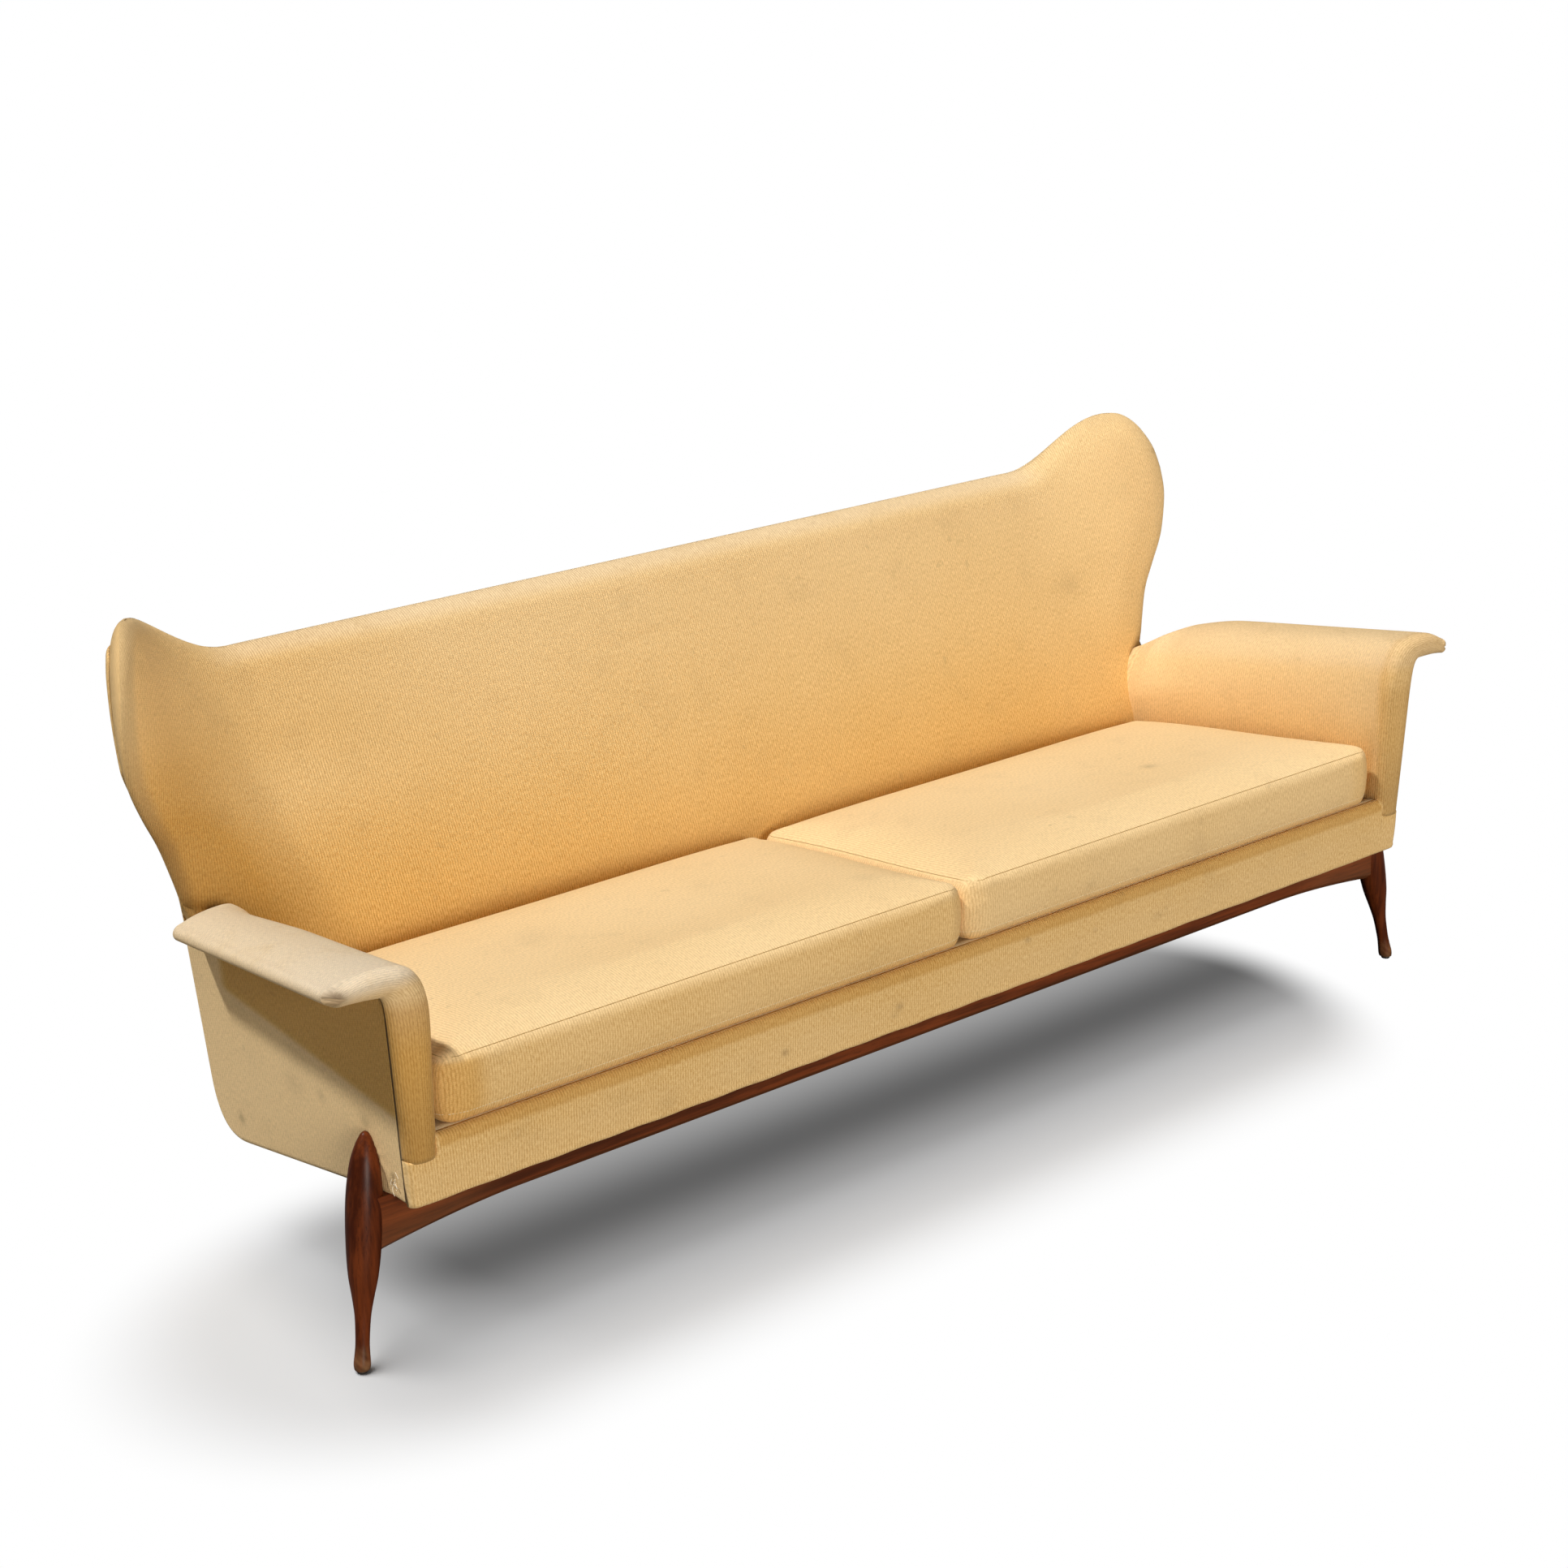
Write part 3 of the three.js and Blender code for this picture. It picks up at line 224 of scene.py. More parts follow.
def wave(places, seed, count=5, scale=3.0):
    """Smooth, repeatable unevenness from -1 to 1."""
    draw = np.random.default_rng(seed)
    total = np.zeros(len(places))
    for _ in range(count):
        direction = draw.normal(size=places.shape[1]) * scale
        total += np.sin(places @ direction * 2 + draw.uniform(0, 6.28))
    return total / count


def outer_x(z):
    return BODY_HALF + SIDE_LEAN * (z - BODY_BOTTOM)


def underside_z(y):
    return BODY_BOTTOM - UNDERSIDE_SLOPE * np.maximum(0, y - UNDERSIDE_KNEE)


def crest_z(y):
    return ARM_CREST - ARM_SLOPE * np.maximum(0, y)


def arm_taper(y):
    return np.clip((y - TAPER_START) / (SEAT_REAR_Y - TAPER_START), 0, 1)


def face_x(y):
    return ARM_INNER - 0.0005 - ARM_SEAT_TAPER * arm_taper(y)


def deck_z(y):
    return DECK_FRONT - SEAT_SLOPE * y


def soft_bend(z, knee, low, high, softness):
    rise = z - knee
    return low * rise + (high - low) * (rise + np.hypot(rise, softness)) / 2


def inner_y(z):
    return SEAT_REAR_Y + soft_bend(z, SEAT_REAR_Z, BACK_FOOT_LEAN, BACK_RECLINE, BACK_KNEE_SOFT)


REAR_KNEE_Y = SEAT_REAR_Y + BACK_RECLINE * (REAR_KNEE_Z - SEAT_REAR_Z) + BACK_THICKNESS


def rear_y(z):
    return REAR_KNEE_Y + soft_bend(z, REAR_KNEE_Z, REAR_FOOT_LEAN, BACK_RECLINE, REAR_KNEE_SOFT)


def wing_points(shares, steps=80):
    shares = np.array(shares)
    places = np.column_stack([NECK_X + (WING_REACH - NECK_X) * shares[:, 0],
                              NECK_Z + (EAR_TIP_Z - NECK_Z) * shares[:, 1]])
    return spline(places, steps)


WING_LOW = wing_points(WING_LOW_SHARES)
WING_HIGH = wing_points(WING_HIGH_SHARES)


def sheet_top(x):
    rise = smooth((x - EAR_START) / (EAR_TIP_X - EAR_START)) * (EAR_TIP_Z - BACK_TOP)
    return np.where(x < EAR_TIP_X, BACK_TOP + rise, np.interp(x, WING_HIGH[:, 0], WING_HIGH[:, 1]))


def sheet_bottom(x):
    shoulder = np.interp(x, [SLAB_HALF, NECK_X], [SLAB_SHOULDER, NECK_Z])
    beyond = np.interp(x, WING_LOW[:, 0], WING_LOW[:, 1])
    return np.where(x <= SLAB_HALF + 1e-6, BACK_BOTTOM, np.where(x < NECK_X, shoulder, beyond))


TOP_X = np.linspace(0, EAR_TIP_X, 60)
ROLLED_EDGE = np.vstack([np.column_stack([TOP_X, sheet_top(TOP_X)]), WING_HIGH[1:], WING_LOW[::-1][1:]])


def sheet_place(run, z, depth):
    """Point of the back: run along the unrolled cloth, height, and depth from the middle."""
    side = np.where(run < 0, -1.0, 1.0)
    beyond = np.maximum(0, np.abs(run) - WING_START)
    share = np.clip((z - NECK_Z) / (EAR_TIP_Z - NECK_Z), 0, 1)
    curvature = np.maximum(share ** WING_BEND_POWER / WING_BEND_RADIUS, 1e-6)
    angle = curvature * beyond
    across = np.sin(angle) / curvature
    forward = (1 - np.cos(angle)) / curvature
    middle = (inner_y(z) + rear_y(z)) / 2
    return np.stack([side * (np.minimum(np.abs(run), WING_START) + across + depth * np.sin(angle)),
                     middle - forward + depth * np.cos(angle), z], axis=-1)


def half_thickness(run, z, roll=ROLL_RADIUS):
    """Half the back's thickness, falling in a quarter round towards its rolled edge."""
    places = np.column_stack([np.abs(run).ravel(), z.ravel()])
    share = np.minimum(1, distance_to_line(places, ROLLED_EDGE) / roll).reshape(run.shape)
    return (rear_y(z) - inner_y(z)) / 2 * np.sqrt(np.maximum(0, 1 - (1 - share) ** 2))


def rear_depth(run, z, roll=ROLL_RADIUS):
    """Half the back's thickness behind: thinner over a wide band at the wings, rounded at the lower corners."""
    near, wide = half_thickness(run, z, roll), half_thickness(run, z, roll * 4)
    found = near + (wide - near) * smooth((np.abs(run) - 0.84) / 0.14)
    past = 1 - np.clip((SLAB_HALF + 0.003 - np.abs(run)) / 0.045, 0, 1)
    corner = 0.4 + 0.6 * np.sqrt(1 - past ** 2)
    return found * (1 + (corner - 1) * (1 - smooth((z - 0.44) / 0.05)))


def edge_steps(low, high, reach, ends, inner):
    """Heights from low to high, close together within reach of both ends."""
    reach = np.minimum(reach, (high - low) * 0.42)
    turn = 1 - np.cos(np.linspace(0, math.pi / 2, ends + 1))
    start = low[:, None] + reach[:, None] * turn
    finish = high[:, None] - reach[:, None] * turn[::-1]
    share = np.linspace(0, 1, inner + 2)[1:-1]
    middle = start[:, -1:] + (finish[:, :1] - start[:, -1:]) * share
    return np.hstack([start, middle, finish])


# Meshes

def build_mesh(name, points, faces, uv=None, attributes=()):
    """A smooth mesh from points in body places."""
    mesh = bpy.data.meshes.new(name)
    placed = points + np.array([0, FRONT_Y, 0])
    mesh.from_pydata(placed.tolist(), [], faces)
    for key, values in attributes:
        layer = mesh.attributes.new(key, "FLOAT", "POINT")
        layer.data.foreach_set("value", np.asarray(values, np.float32))
    if uv is not None:
        layer = mesh.uv_layers.new(name="cloth")
        layer.data.foreach_set("uv", np.asarray(uv, np.float32).ravel())
    mesh.polygons.foreach_set("use_smooth", [True] * len(mesh.polygons))
    mesh.update()
    piece = bpy.data.objects.new(name, mesh)
    bpy.context.scene.collection.objects.link(piece)
    return piece


def signed_volume(points, faces):
    total = 0.0
    quads = np.array([f if len(f) == 4 else (*f, f[-1]) for f in faces if len(f) <= 4])
    a, b, c, d = (points[quads[:, k]] for k in range(4))
    total += np.einsum("ij,ij->i", a, np.cross(b, c)).sum()
    total += np.einsum("ij,ij->i", a, np.cross(c, d)).sum()
    return total


def skin(name, rings, uv=None, attributes=()):
    """A closed body through rings of equally many points, its two end rings capped."""
    count, size = rings.shape[:2]
    points = rings.reshape(-1, 3)
    faces, corners = [], []
    for k in range(count - 1):
        for i in range(size):
            j = (i + 1) % size
            faces.append((k * size + i, k * size + j, (k + 1) * size + j, (k + 1) * size + i))
            corners.append(((k, i), (k, i + 1), (k + 1, i + 1), (k + 1, i)))
    flip = signed_volume(points - points.mean(0), faces) < 0
    if flip:
        faces = [f[::-1] for f in faces]
        corners = [c[::-1] for c in corners]
    first = list(range(size))
    last = [(count - 1) * size + i for i in range(size)]
    caps = [first[::-1], last] if not flip else [first, last[::-1]]
    loops = None
    if uv is not None:
        uv = np.asarray(uv)
        index = np.array(corners).reshape(-1, 2)
        loops = uv[index[:, 0], index[:, 1]]
        ends = [uv[0 if cap[0] < size else count - 1, [i % size for i in cap]] for cap in caps]
        loops = np.vstack([loops, *ends])
    return build_mesh(name, points, faces + caps, loops, attributes)


def ring_lengths(rings):
    """Running length round each ring, back to its first point."""
    closed = np.concatenate([rings, rings[:, :1]], axis=1)
    steps = np.linalg.norm(np.diff(closed, axis=1), axis=2)
    return np.hstack([np.zeros((len(rings), 1)), np.cumsum(steps, axis=1)])


def mirrored(piece, name):
    """The left hand's copy of a right hand piece."""
    mesh = piece.data.copy()
    mesh.name = name
    co = np.zeros(len(mesh.vertices) * 3, np.float32)
    mesh.vertices.foreach_get("co", co)
    co[0::3] *= -1
    mesh.vertices.foreach_set("co", co)
    mesh.flip_normals()
    copy = bpy.data.objects.new(name, mesh)
    bpy.context.scene.collection.objects.link(copy)
    return copy


def coords(piece):
    co = np.zeros(len(piece.data.vertices) * 3, np.float32)
    piece.data.vertices.foreach_get("co", co)
    return co.reshape(-1, 3).astype(float)


def set_coords(piece, points):
    piece.data.vertices.foreach_set("co", np.asarray(points, np.float32).ravel())
    piece.data.update()


def normals(piece):
    no = np.zeros(len(piece.data.vertices) * 3, np.float32)
    piece.data.vertex_normals.foreach_get("vector", no)
    return no.reshape(-1, 3).astype(float)


def set_attribute(piece, key, values):
    layer = piece.data.attributes.get(key) or piece.data.attributes.new(key, "FLOAT", "POINT")
    layer.data.foreach_set("value", np.asarray(values, np.float32))


def attribute_values(piece, key):
    values = np.zeros(len(piece.data.vertices), np.float32)
    piece.data.attributes[key].data.foreach_get("value", values)
    return values.astype(float)


def dent(piece, marks):
    """Pushes the surface in (or out, where depth is negative) round each mark."""
    points, along = coords(piece), normals(piece)
    for (x, y, z), radius, depth in marks:
        away = np.linalg.norm((points - np.array([x, y + FRONT_Y, z])) / np.array(radius), axis=1)
        points -= along * (depth * np.exp(-away ** 2))[:, None]
    set_coords(piece, points)


def tidy(piece, distance=1e-6):
    """Joins points that lie on each other and drops faces without area."""
    import bmesh
    work = bmesh.new()
    work.from_mesh(piece.data)
    bmesh.ops.remove_doubles(work, verts=work.verts, dist=distance)
    bmesh.ops.dissolve_degenerate(work, edges=work.edges, dist=distance)
    work.to_mesh(piece.data)
    work.free()
    piece.data.polygons.foreach_set("use_smooth", [True] * len(piece.data.polygons))


def apply_modifiers(piece):
    """Replaces the mesh by what its modifiers make."""
    bpy.context.view_layer.update()
    made = bpy.data.meshes.new_from_object(piece.evaluated_get(bpy.context.evaluated_depsgraph_get()))
    piece.modifiers.clear()
    piece.data = made
    return piece


def give(piece, body, material, nodes=()):
    piece.data.materials.clear()
    piece.data.materials.append(material)
    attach(piece, body)
    if nodes:
        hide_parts(*nodes)
    return piece


# Materials

def feed(tree, socket, value):
    if isinstance(value, bpy.types.NodeSocket):
        tree.links.new(value, socket)
    else:
        socket.default_value = value


def calc(tree, operation, *values, clamp=False):
    node = tree.nodes.new("ShaderNodeMath")
    node.operation = operation
    node.use_clamp = clamp
    for socket, value in zip(node.inputs, values):
        feed(tree, socket, value)
    return node.outputs[0]


def mix_colour(tree, share, a, b, blend="MIX"):
    node = tree.nodes.new("ShaderNodeMix")
    node.data_type = "RGBA"
    node.blend_type = blend
    feed(tree, node.inputs["Factor"], share)
    feed(tree, node.inputs[6], a)
    feed(tree, node.inputs[7], b)
    return node.outputs[2]


def span(tree, value, low, high, to_low=0.0, to_high=1.0):
    node = tree.nodes.new("ShaderNodeMapRange")
    node.interpolation_type = "SMOOTHSTEP"
    for key, given in (("Value", value), ("From Min", low), ("From Max", high), ("To Min", to_low),
                       ("To Max", to_high)):
        feed(tree, node.inputs[key], given)
    return node.outputs[0]


def noise(tree, vector, scale, detail=2.0, roughness=0.5):
    node = tree.nodes.new("ShaderNodeTexNoise")
    feed(tree, node.inputs["Vector"], vector)
    node.inputs["Scale"].default_value = scale
    node.inputs["Detail"].default_value = detail
    node.inputs["Roughness"].default_value = roughness
    return node.outputs[0]


def new_group(name, inputs, outputs):
    tree = bpy.data.node_groups.new(name, "ShaderNodeTree")
    for key, kind, value in inputs:
        socket = tree.interface.new_socket(key, in_out="INPUT", socket_type=kind)
        if value is not None:
            socket.default_value = value
    for key, kind in outputs:
        tree.interface.new_socket(key, in_out="OUTPUT", socket_type=kind)
    return tree, tree.nodes.new("NodeGroupInput").outputs, tree.nodes.new("NodeGroupOutput").inputs


def use_group(tree, group, **values):
    node = tree.nodes.new("ShaderNodeGroup")
    node.node_tree = group
    for key, value in values.items():
        feed(tree, node.inputs[key.replace("_", " ")], value)
    return node.outputs


def weave_group():
    """Ribs along V, crossed by threads set half a step apart on every second rib."""
    found = bpy.data.node_groups.get("ribbed weave")
    if found:
        return found
    tree, given, result = new_group(
        "ribbed weave",
        [("Cloth", "NodeSocketVector", None), ("Rib", "NodeSocketFloat", 0.005), ("Thread", "NodeSocketFloat", 0.003)],
        [("Height", "NodeSocketFloat"), ("Tone", "NodeSocketFloat")])
    wander = tree.nodes.new("ShaderNodeTexNoise")
    feed(tree, wander.inputs["Vector"], given["Cloth"])
    wander.inputs["Scale"].default_value = 60
    shift = tree.nodes.new("ShaderNodeVectorMath")
    shift.operation = "SCALE"
    feed(tree, shift.inputs[0], wander.outputs["Color"])
    shift.inputs["Scale"].default_value = 0.0022
    moved = tree.nodes.new("ShaderNodeVectorMath")
    feed(tree, moved.inputs[0], given["Cloth"])
    feed(tree, moved.inputs[1], shift.outputs[0])
    split = tree.nodes.new("ShaderNodeSeparateXYZ")
    feed(tree, split.inputs[0], moved.outputs[0])
    rib = calc(tree, "DIVIDE", split.outputs[0], given["Rib"])
    thread = calc(tree, "DIVIDE", split.outputs[1], given["Thread"])
    odd = calc(tree, "MULTIPLY", calc(tree, "FLOORED_MODULO", calc(tree, "FLOOR", rib), 2.0), 0.5)
    across = calc(tree, "SUBTRACT", calc(tree, "MULTIPLY", calc(tree, "FRACT", rib), 2.0), 1.0)
    along = calc(tree, "FRACT", calc(tree, "ADD", thread, odd))
    along = calc(tree, "SUBTRACT", calc(tree, "MULTIPLY", along, 2.0), 1.0)
    ridge = calc(tree, "SUBTRACT", 1.0, calc(tree, "MULTIPLY", across, across))
    knot = calc(tree, "SUBTRACT", 1.0, calc(tree, "MULTIPLY", along, along))
    height = calc(tree, "MULTIPLY", ridge, calc(tree, "MULTIPLY_ADD", knot, 0.45, 0.55))
    fuzz = noise(tree, given["Cloth"], 900, 2.0, 0.7)
    feed(tree, result["Height"], calc(tree, "ADD", height, calc(tree, "MULTIPLY", fuzz, 0.35)))
    drawn = tree.nodes.new("ShaderNodeMapping")
    drawn.inputs["Scale"].default_value = (1.0, 0.35, 1.0)
    feed(tree, drawn.inputs["Vector"], given["Cloth"])
    slub = span(tree, noise(tree, drawn.outputs[0], 430, 2.0, 0.7), 0.32, 0.68)
    # Tone: random slub, and darker in the valleys of the ribs: painted shade of the weave's hollows
    feed(tree, result["Tone"], calc(tree, "MULTIPLY_ADD", slub, 0.55, calc(tree, "MULTIPLY", height, 0.60)))
    return tree


def soil_group():
    """Broad fading and small grubby spots on object places."""
    found = bpy.data.node_groups.get("age and soil")
    if found:
        return found
    tree, given, result = new_group(
        "age and soil", [("Place", "NodeSocketVector", None)],
        [("Fade", "NodeSocketFloat"), ("Soil", "NodeSocketFloat"), ("Spots", "NodeSocketFloat")])
    feed(tree, result["Fade"], span(tree, noise(tree, given["Place"], 2.2, 3.0), 0.35, 0.68))
    feed(tree, result["Soil"], span(tree, noise(tree, given["Place"], 14, 4.0, 0.65), 0.50, 0.80))
    feed(tree, result["Spots"], span(tree, noise(tree, given["Place"], 42, 1.0), 0.735, 0.79))
    return tree


def grain_group():
    """Straight wood figure, drawn out along the grain, with fine dark pores."""
    found = bpy.data.node_groups.get("wood grain")
    if found:
        return found
    tree, given, result = new_group(
        "wood grain", [("Grain", "NodeSocketVector", None)],
        [("Figure", "NodeSocketFloat"), ("Pores", "NodeSocketFloat"), ("Height", "NodeSocketFloat")])
    broad = noise(tree, given["Grain"], 9, 3.0, 0.55)
    streaks = noise(tree, given["Grain"], 48, 4.0, 0.6)
    figure = calc(tree, "MULTIPLY_ADD", broad, 0.6, calc(tree, "MULTIPLY", streaks, 0.4))
    pores = span(tree, noise(tree, given["Grain"], 190, 2.0, 0.6), 0.57, 0.70)
    feed(tree, result["Figure"], figure)
    feed(tree, result["Pores"], pores)
    feed(tree, result["Height"], calc(tree, "MULTIPLY_ADD", pores, -0.5, calc(tree, "MULTIPLY", streaks, 0.3)))
    return tree


def new_material(name):
    """An empty node material: its tree, and its Principled shader's inputs."""
    material = bpy.data.materials.new(name)
    material.use_nodes = True
    tree = material.node_tree
    shader = next(n for n in tree.nodes if n.type == "BSDF_PRINCIPLED")
    return material, tree, shader.inputs


def bump(tree, shader, height, strength, distance):
    node = tree.nodes.new("ShaderNodeBump")
    node.inputs["Strength"].default_value = strength
    node.inputs["Distance"].default_value = distance
    feed(tree, node.inputs["Height"], height)
    feed(tree, shader["Normal"], node.outputs[0])


def attribute(tree, key):
    node = tree.nodes.new("ShaderNodeAttribute")
    node.attribute_name = key
    return node.outputs["Fac"]


def cloth_place(tree):
    node = tree.nodes.new("ShaderNodeUVMap")
    node.uv_map = "cloth"
    return node.outputs[0]


def object_place(tree):
    return tree.nodes.new("ShaderNodeTexCoord").outputs["Object"]


def rgba(colour):
    return (*colour, 1.0)


def wool_material(context, name, depth=1.0):
    """The yellow-gold ribbed wool cover, with its fading, worn places and soil, and with painted light and shade: paler
    where its fade attribute is set, deeper and darker where its shade attribute is set, and darker where its soil
    attribute carries painted shade.
    """
    found = bpy.data.materials.get(name)
    if found:
        return found
    finish = context.scene.sofa_finish
    material, tree, shader = new_material(name)
    weave = use_group(tree, weave_group(), Cloth=cloth_place(tree), Rib=finish.rib_pitch, Thread=finish.thread_pitch)
    age = use_group(tree, soil_group(), Place=object_place(tree))
    # The valleys of the weave take the darker valley colour: painted shade in the weave's hollows, with random slub
    # tone
    tone = calc(tree, "MULTIPLY_ADD", weave["Tone"], 0.95, 0.02)
    colour = mix_colour(tree, tone, rgba(finish.cloth_shade), rgba(finish.cloth))
    # Paler faded colour: random fading, and the mesh's fade attribute, which is partly fading and partly painted light
    # on the lit faces
    fade = calc(tree, "MULTIPLY_ADD", age["Fade"], 0.16, attribute(tree, "faded_and_painted_light"), clamp=True)
    bright = mix_colour(tree, 1.0, rgba(finish.cloth_faded), calc(tree, "MULTIPLY_ADD", weave["Tone"], 0.30, 0.80), "MULTIPLY")
    colour = mix_colour(tree, fade, colour, bright)
    # Deeper, darker colour where the mesh's shade attribute is set: painted shade
    deep = mix_colour(tree, 1.0, colour, rgba((0.84, 0.70, 0.42)), "MULTIPLY")
    colour = mix_colour(tree, attribute(tree, "painted_shade"), colour, deep)
    wear = calc(tree, "MULTIPLY", attribute(tree, "wear"), calc(tree, "MULTIPLY_ADD", age["Soil"], -0.35, 0.9))
    rubbed = mix_colour(tree, 1.0, rgba(finish.cloth_worn), calc(tree, "MULTIPLY_ADD", weave["Tone"], 0.34, 0.78), "MULTIPLY")
    colour = mix_colour(tree, wear, colour, rubbed)
    # Soil: random grime and spots, and the mesh's soil attribute, which holds real stains and also painted shade in
    # slits, corners and under the cushions
    soil = calc(tree, "MULTIPLY", age["Soil"], 0.10)
    soil = calc(tree, "ADD", soil, calc(tree, "MULTIPLY", age["Spots"], 0.12))
    soil = calc(tree, "ADD", soil, attribute(tree, "soil"), clamp=True)
    colour = mix_colour(tree, soil, colour, rgba(finish.cloth_soil))
    feed(tree, shader["Base Color"], colour)
    shader["Roughness"].default_value = 0.92
    shader["Specular IOR Level"].default_value = 0.15
    shader["Sheen Weight"].default_value = 0.25
    shader["Sheen Roughness"].default_value = 0.45
    shader["Sheen Tint"].default_value = rgba(finish.cloth_faded)
    bump(tree, shader, weave["Height"], 0.45 * depth, 0.0012)
    return material


def wood_material(name, dark, light, roughness, grain_scale, coat=0.0, turn=(0.0, 0.0, 0.0)):
    """Wood with its grain along object X unless it is turned."""
    found = bpy.data.materials.get(name)
    if found:
        return found
    material, tree, shader = new_material(name)
    mapping = tree.nodes.new("ShaderNodeMapping")
    mapping.inputs["Rotation"].default_value = turn
    mapping.inputs["Scale"].default_value = grain_scale
    feed(tree, mapping.inputs["Vector"], object_place(tree))
    grain = use_group(tree, grain_group(), Grain=mapping.outputs[0])
    colour = mix_colour(tree, span(tree, grain["Figure"], 0.36, 0.66), rgba(dark), rgba(light))
    colour = mix_colour(tree, calc(tree, "MULTIPLY", grain["Pores"], 0.45), colour, rgba([c * 0.45 for c in dark]))
    worn = rgba((0.42, 0.22, 0.10))
    colour = mix_colour(tree, attribute(tree, "wear"), colour, worn)
    colour = mix_colour(tree, attribute(tree, "soil"), colour, rgba((0.012, 0.008, 0.006)))
    feed(tree, shader["Base Color"], colour)
    feed(tree, shader["Roughness"], calc(tree, "MULTIPLY_ADD", grain["Figure"], 0.12, roughness - 0.06))
    shader["Specular IOR Level"].default_value = 0.13
    shader["Coat Weight"].default_value = coat
    shader["Coat Roughness"].default_value = 0.28
    bump(tree, shader, grain["Height"], 0.25, 0.0004)
    return material


def plain_material(name, colour, roughness, metallic=0.0, mottle=0.15, grain=300.0):
    """A near-plain finish with slight mottling, for thread, steel and glides."""
    found = bpy.data.materials.get(name)
    if found:
        return found
    material, tree, shader = new_material(name)
    place = object_place(tree)
    patch = noise(tree, place, grain, 3.0, 0.6)
    dark = rgba([c * (1 - mottle) for c in colour])
    feed(tree, shader["Base Color"], mix_colour(tree, span(tree, patch, 0.3, 0.7), dark, rgba(colour)))
    feed(tree, shader["Roughness"], calc(tree, "MULTIPLY_ADD", patch, 0.2, roughness - 0.1))
    shader["Metallic"].default_value = metallic
    bump(tree, shader, patch, 0.2, 0.0004)
    return material


def woven_material(name, colour, dark, pitch, roughness=0.9):
    """A plain weave on object places, for straps, deck cloth and the dust sheet."""
    found = bpy.data.materials.get(name)
    if found:
        return found
    material, tree, shader = new_material(name)
    place = object_place(tree)
    weave = use_group(tree, weave_group(), Cloth=place, Rib=pitch, Thread=pitch)
    age = use_group(tree, soil_group(), Place=place)
    # Darker in the valleys of the weave: painted shade of its hollows, with random slub tone
    colour = mix_colour(tree, weave["Tone"], rgba(dark), rgba(colour))
    feed(tree, shader["Base Color"], mix_colour(tree, calc(tree, "MULTIPLY", age["Soil"], 0.3), colour, rgba(dark)))
    shader["Roughness"].default_value = roughness
    bump(tree, shader, weave["Height"], 0.4, pitch * 0.3)
    return material


# Rows of stitches and seam lines, by Geometry Nodes

def new_nodes(name, sizes):
    tree = bpy.data.node_groups.new(name, "GeometryNodeTree")
    tree.interface.new_socket("Path", in_out="INPUT", socket_type="NodeSocketGeometry")
    for key, value in sizes:
        socket = tree.interface.new_socket(key, in_out="INPUT", socket_type="NodeSocketFloat")
        socket.default_value = value
    tree.interface.new_socket("Finish", in_out="INPUT", socket_type="NodeSocketMaterial")
    tree.interface.new_socket("Result", in_out="OUTPUT", socket_type="NodeSocketGeometry")
    return tree, tree.nodes.new("NodeGroupInput").outputs, tree.nodes.new("NodeGroupOutput").inputs


def finished(tree, given, geometry, result):
    realized = tree.nodes.new("GeometryNodeRealizeInstances")
    feed(tree, realized.inputs[0], geometry)
    dressed = tree.nodes.new("GeometryNodeSetMaterial")
    feed(tree, dressed.inputs["Geometry"], realized.outputs[0])
    feed(tree, dressed.inputs["Material"], given["Finish"])
    smooth_node = tree.nodes.new("GeometryNodeSetShadeSmooth")
    feed(tree, smooth_node.inputs[0], dressed.outputs[0])
    feed(tree, result[0], smooth_node.outputs[0])


def stitch_nodes():
    """Short rounded stitches, laid one behind the other along a path."""
    found = bpy.data.node_groups.get("stitch row")
    if found:
        return found
    tree, given, result = new_nodes("stitch row", [("Spacing", 0.005), ("Length", 0.0034), ("Radius", 0.0006)])
    curve = tree.nodes.new("GeometryNodeMeshToCurve")
    feed(tree, curve.inputs[0], given["Path"])
    steps = tree.nodes.new("GeometryNodeResampleCurve")
    steps.mode = "LENGTH"
    feed(tree, steps.inputs["Curve"], curve.outputs[0])
    feed(tree, steps.inputs["Length"], given["Spacing"])
    stitch = tree.nodes.new("GeometryNodeMeshUVSphere")
    stitch.inputs["Segments"].default_value = 6
    stitch.inputs["Rings"].default_value = 4
    stitch.inputs["Radius"].default_value = 1.0
    aim = tree.nodes.new("FunctionNodeAlignRotationToVector")
    aim.axis = "Z"
    tangent = tree.nodes.new("GeometryNodeInputTangent")
    feed(tree, aim.inputs["Vector"], tangent.outputs[0])
    size = tree.nodes.new("ShaderNodeCombineXYZ")
    half = tree.nodes.new("ShaderNodeMath")
    half.operation = "MULTIPLY"
    feed(tree, half.inputs[0], given["Length"])
    half.inputs[1].default_value = 0.5
    feed(tree, size.inputs[0], given["Radius"])
    feed(tree, size.inputs[1], given["Radius"])
    feed(tree, size.inputs[2], half.outputs[0])
    place = tree.nodes.new("GeometryNodeInstanceOnPoints")
    feed(tree, place.inputs["Points"], steps.outputs[0])
    feed(tree, place.inputs["Instance"], stitch.outputs[0])
    feed(tree, place.inputs["Rotation"], aim.outputs[0])
    feed(tree, place.inputs["Scale"], size.outputs[0])
    finished(tree, given, place.outputs[0], result)
    return tree


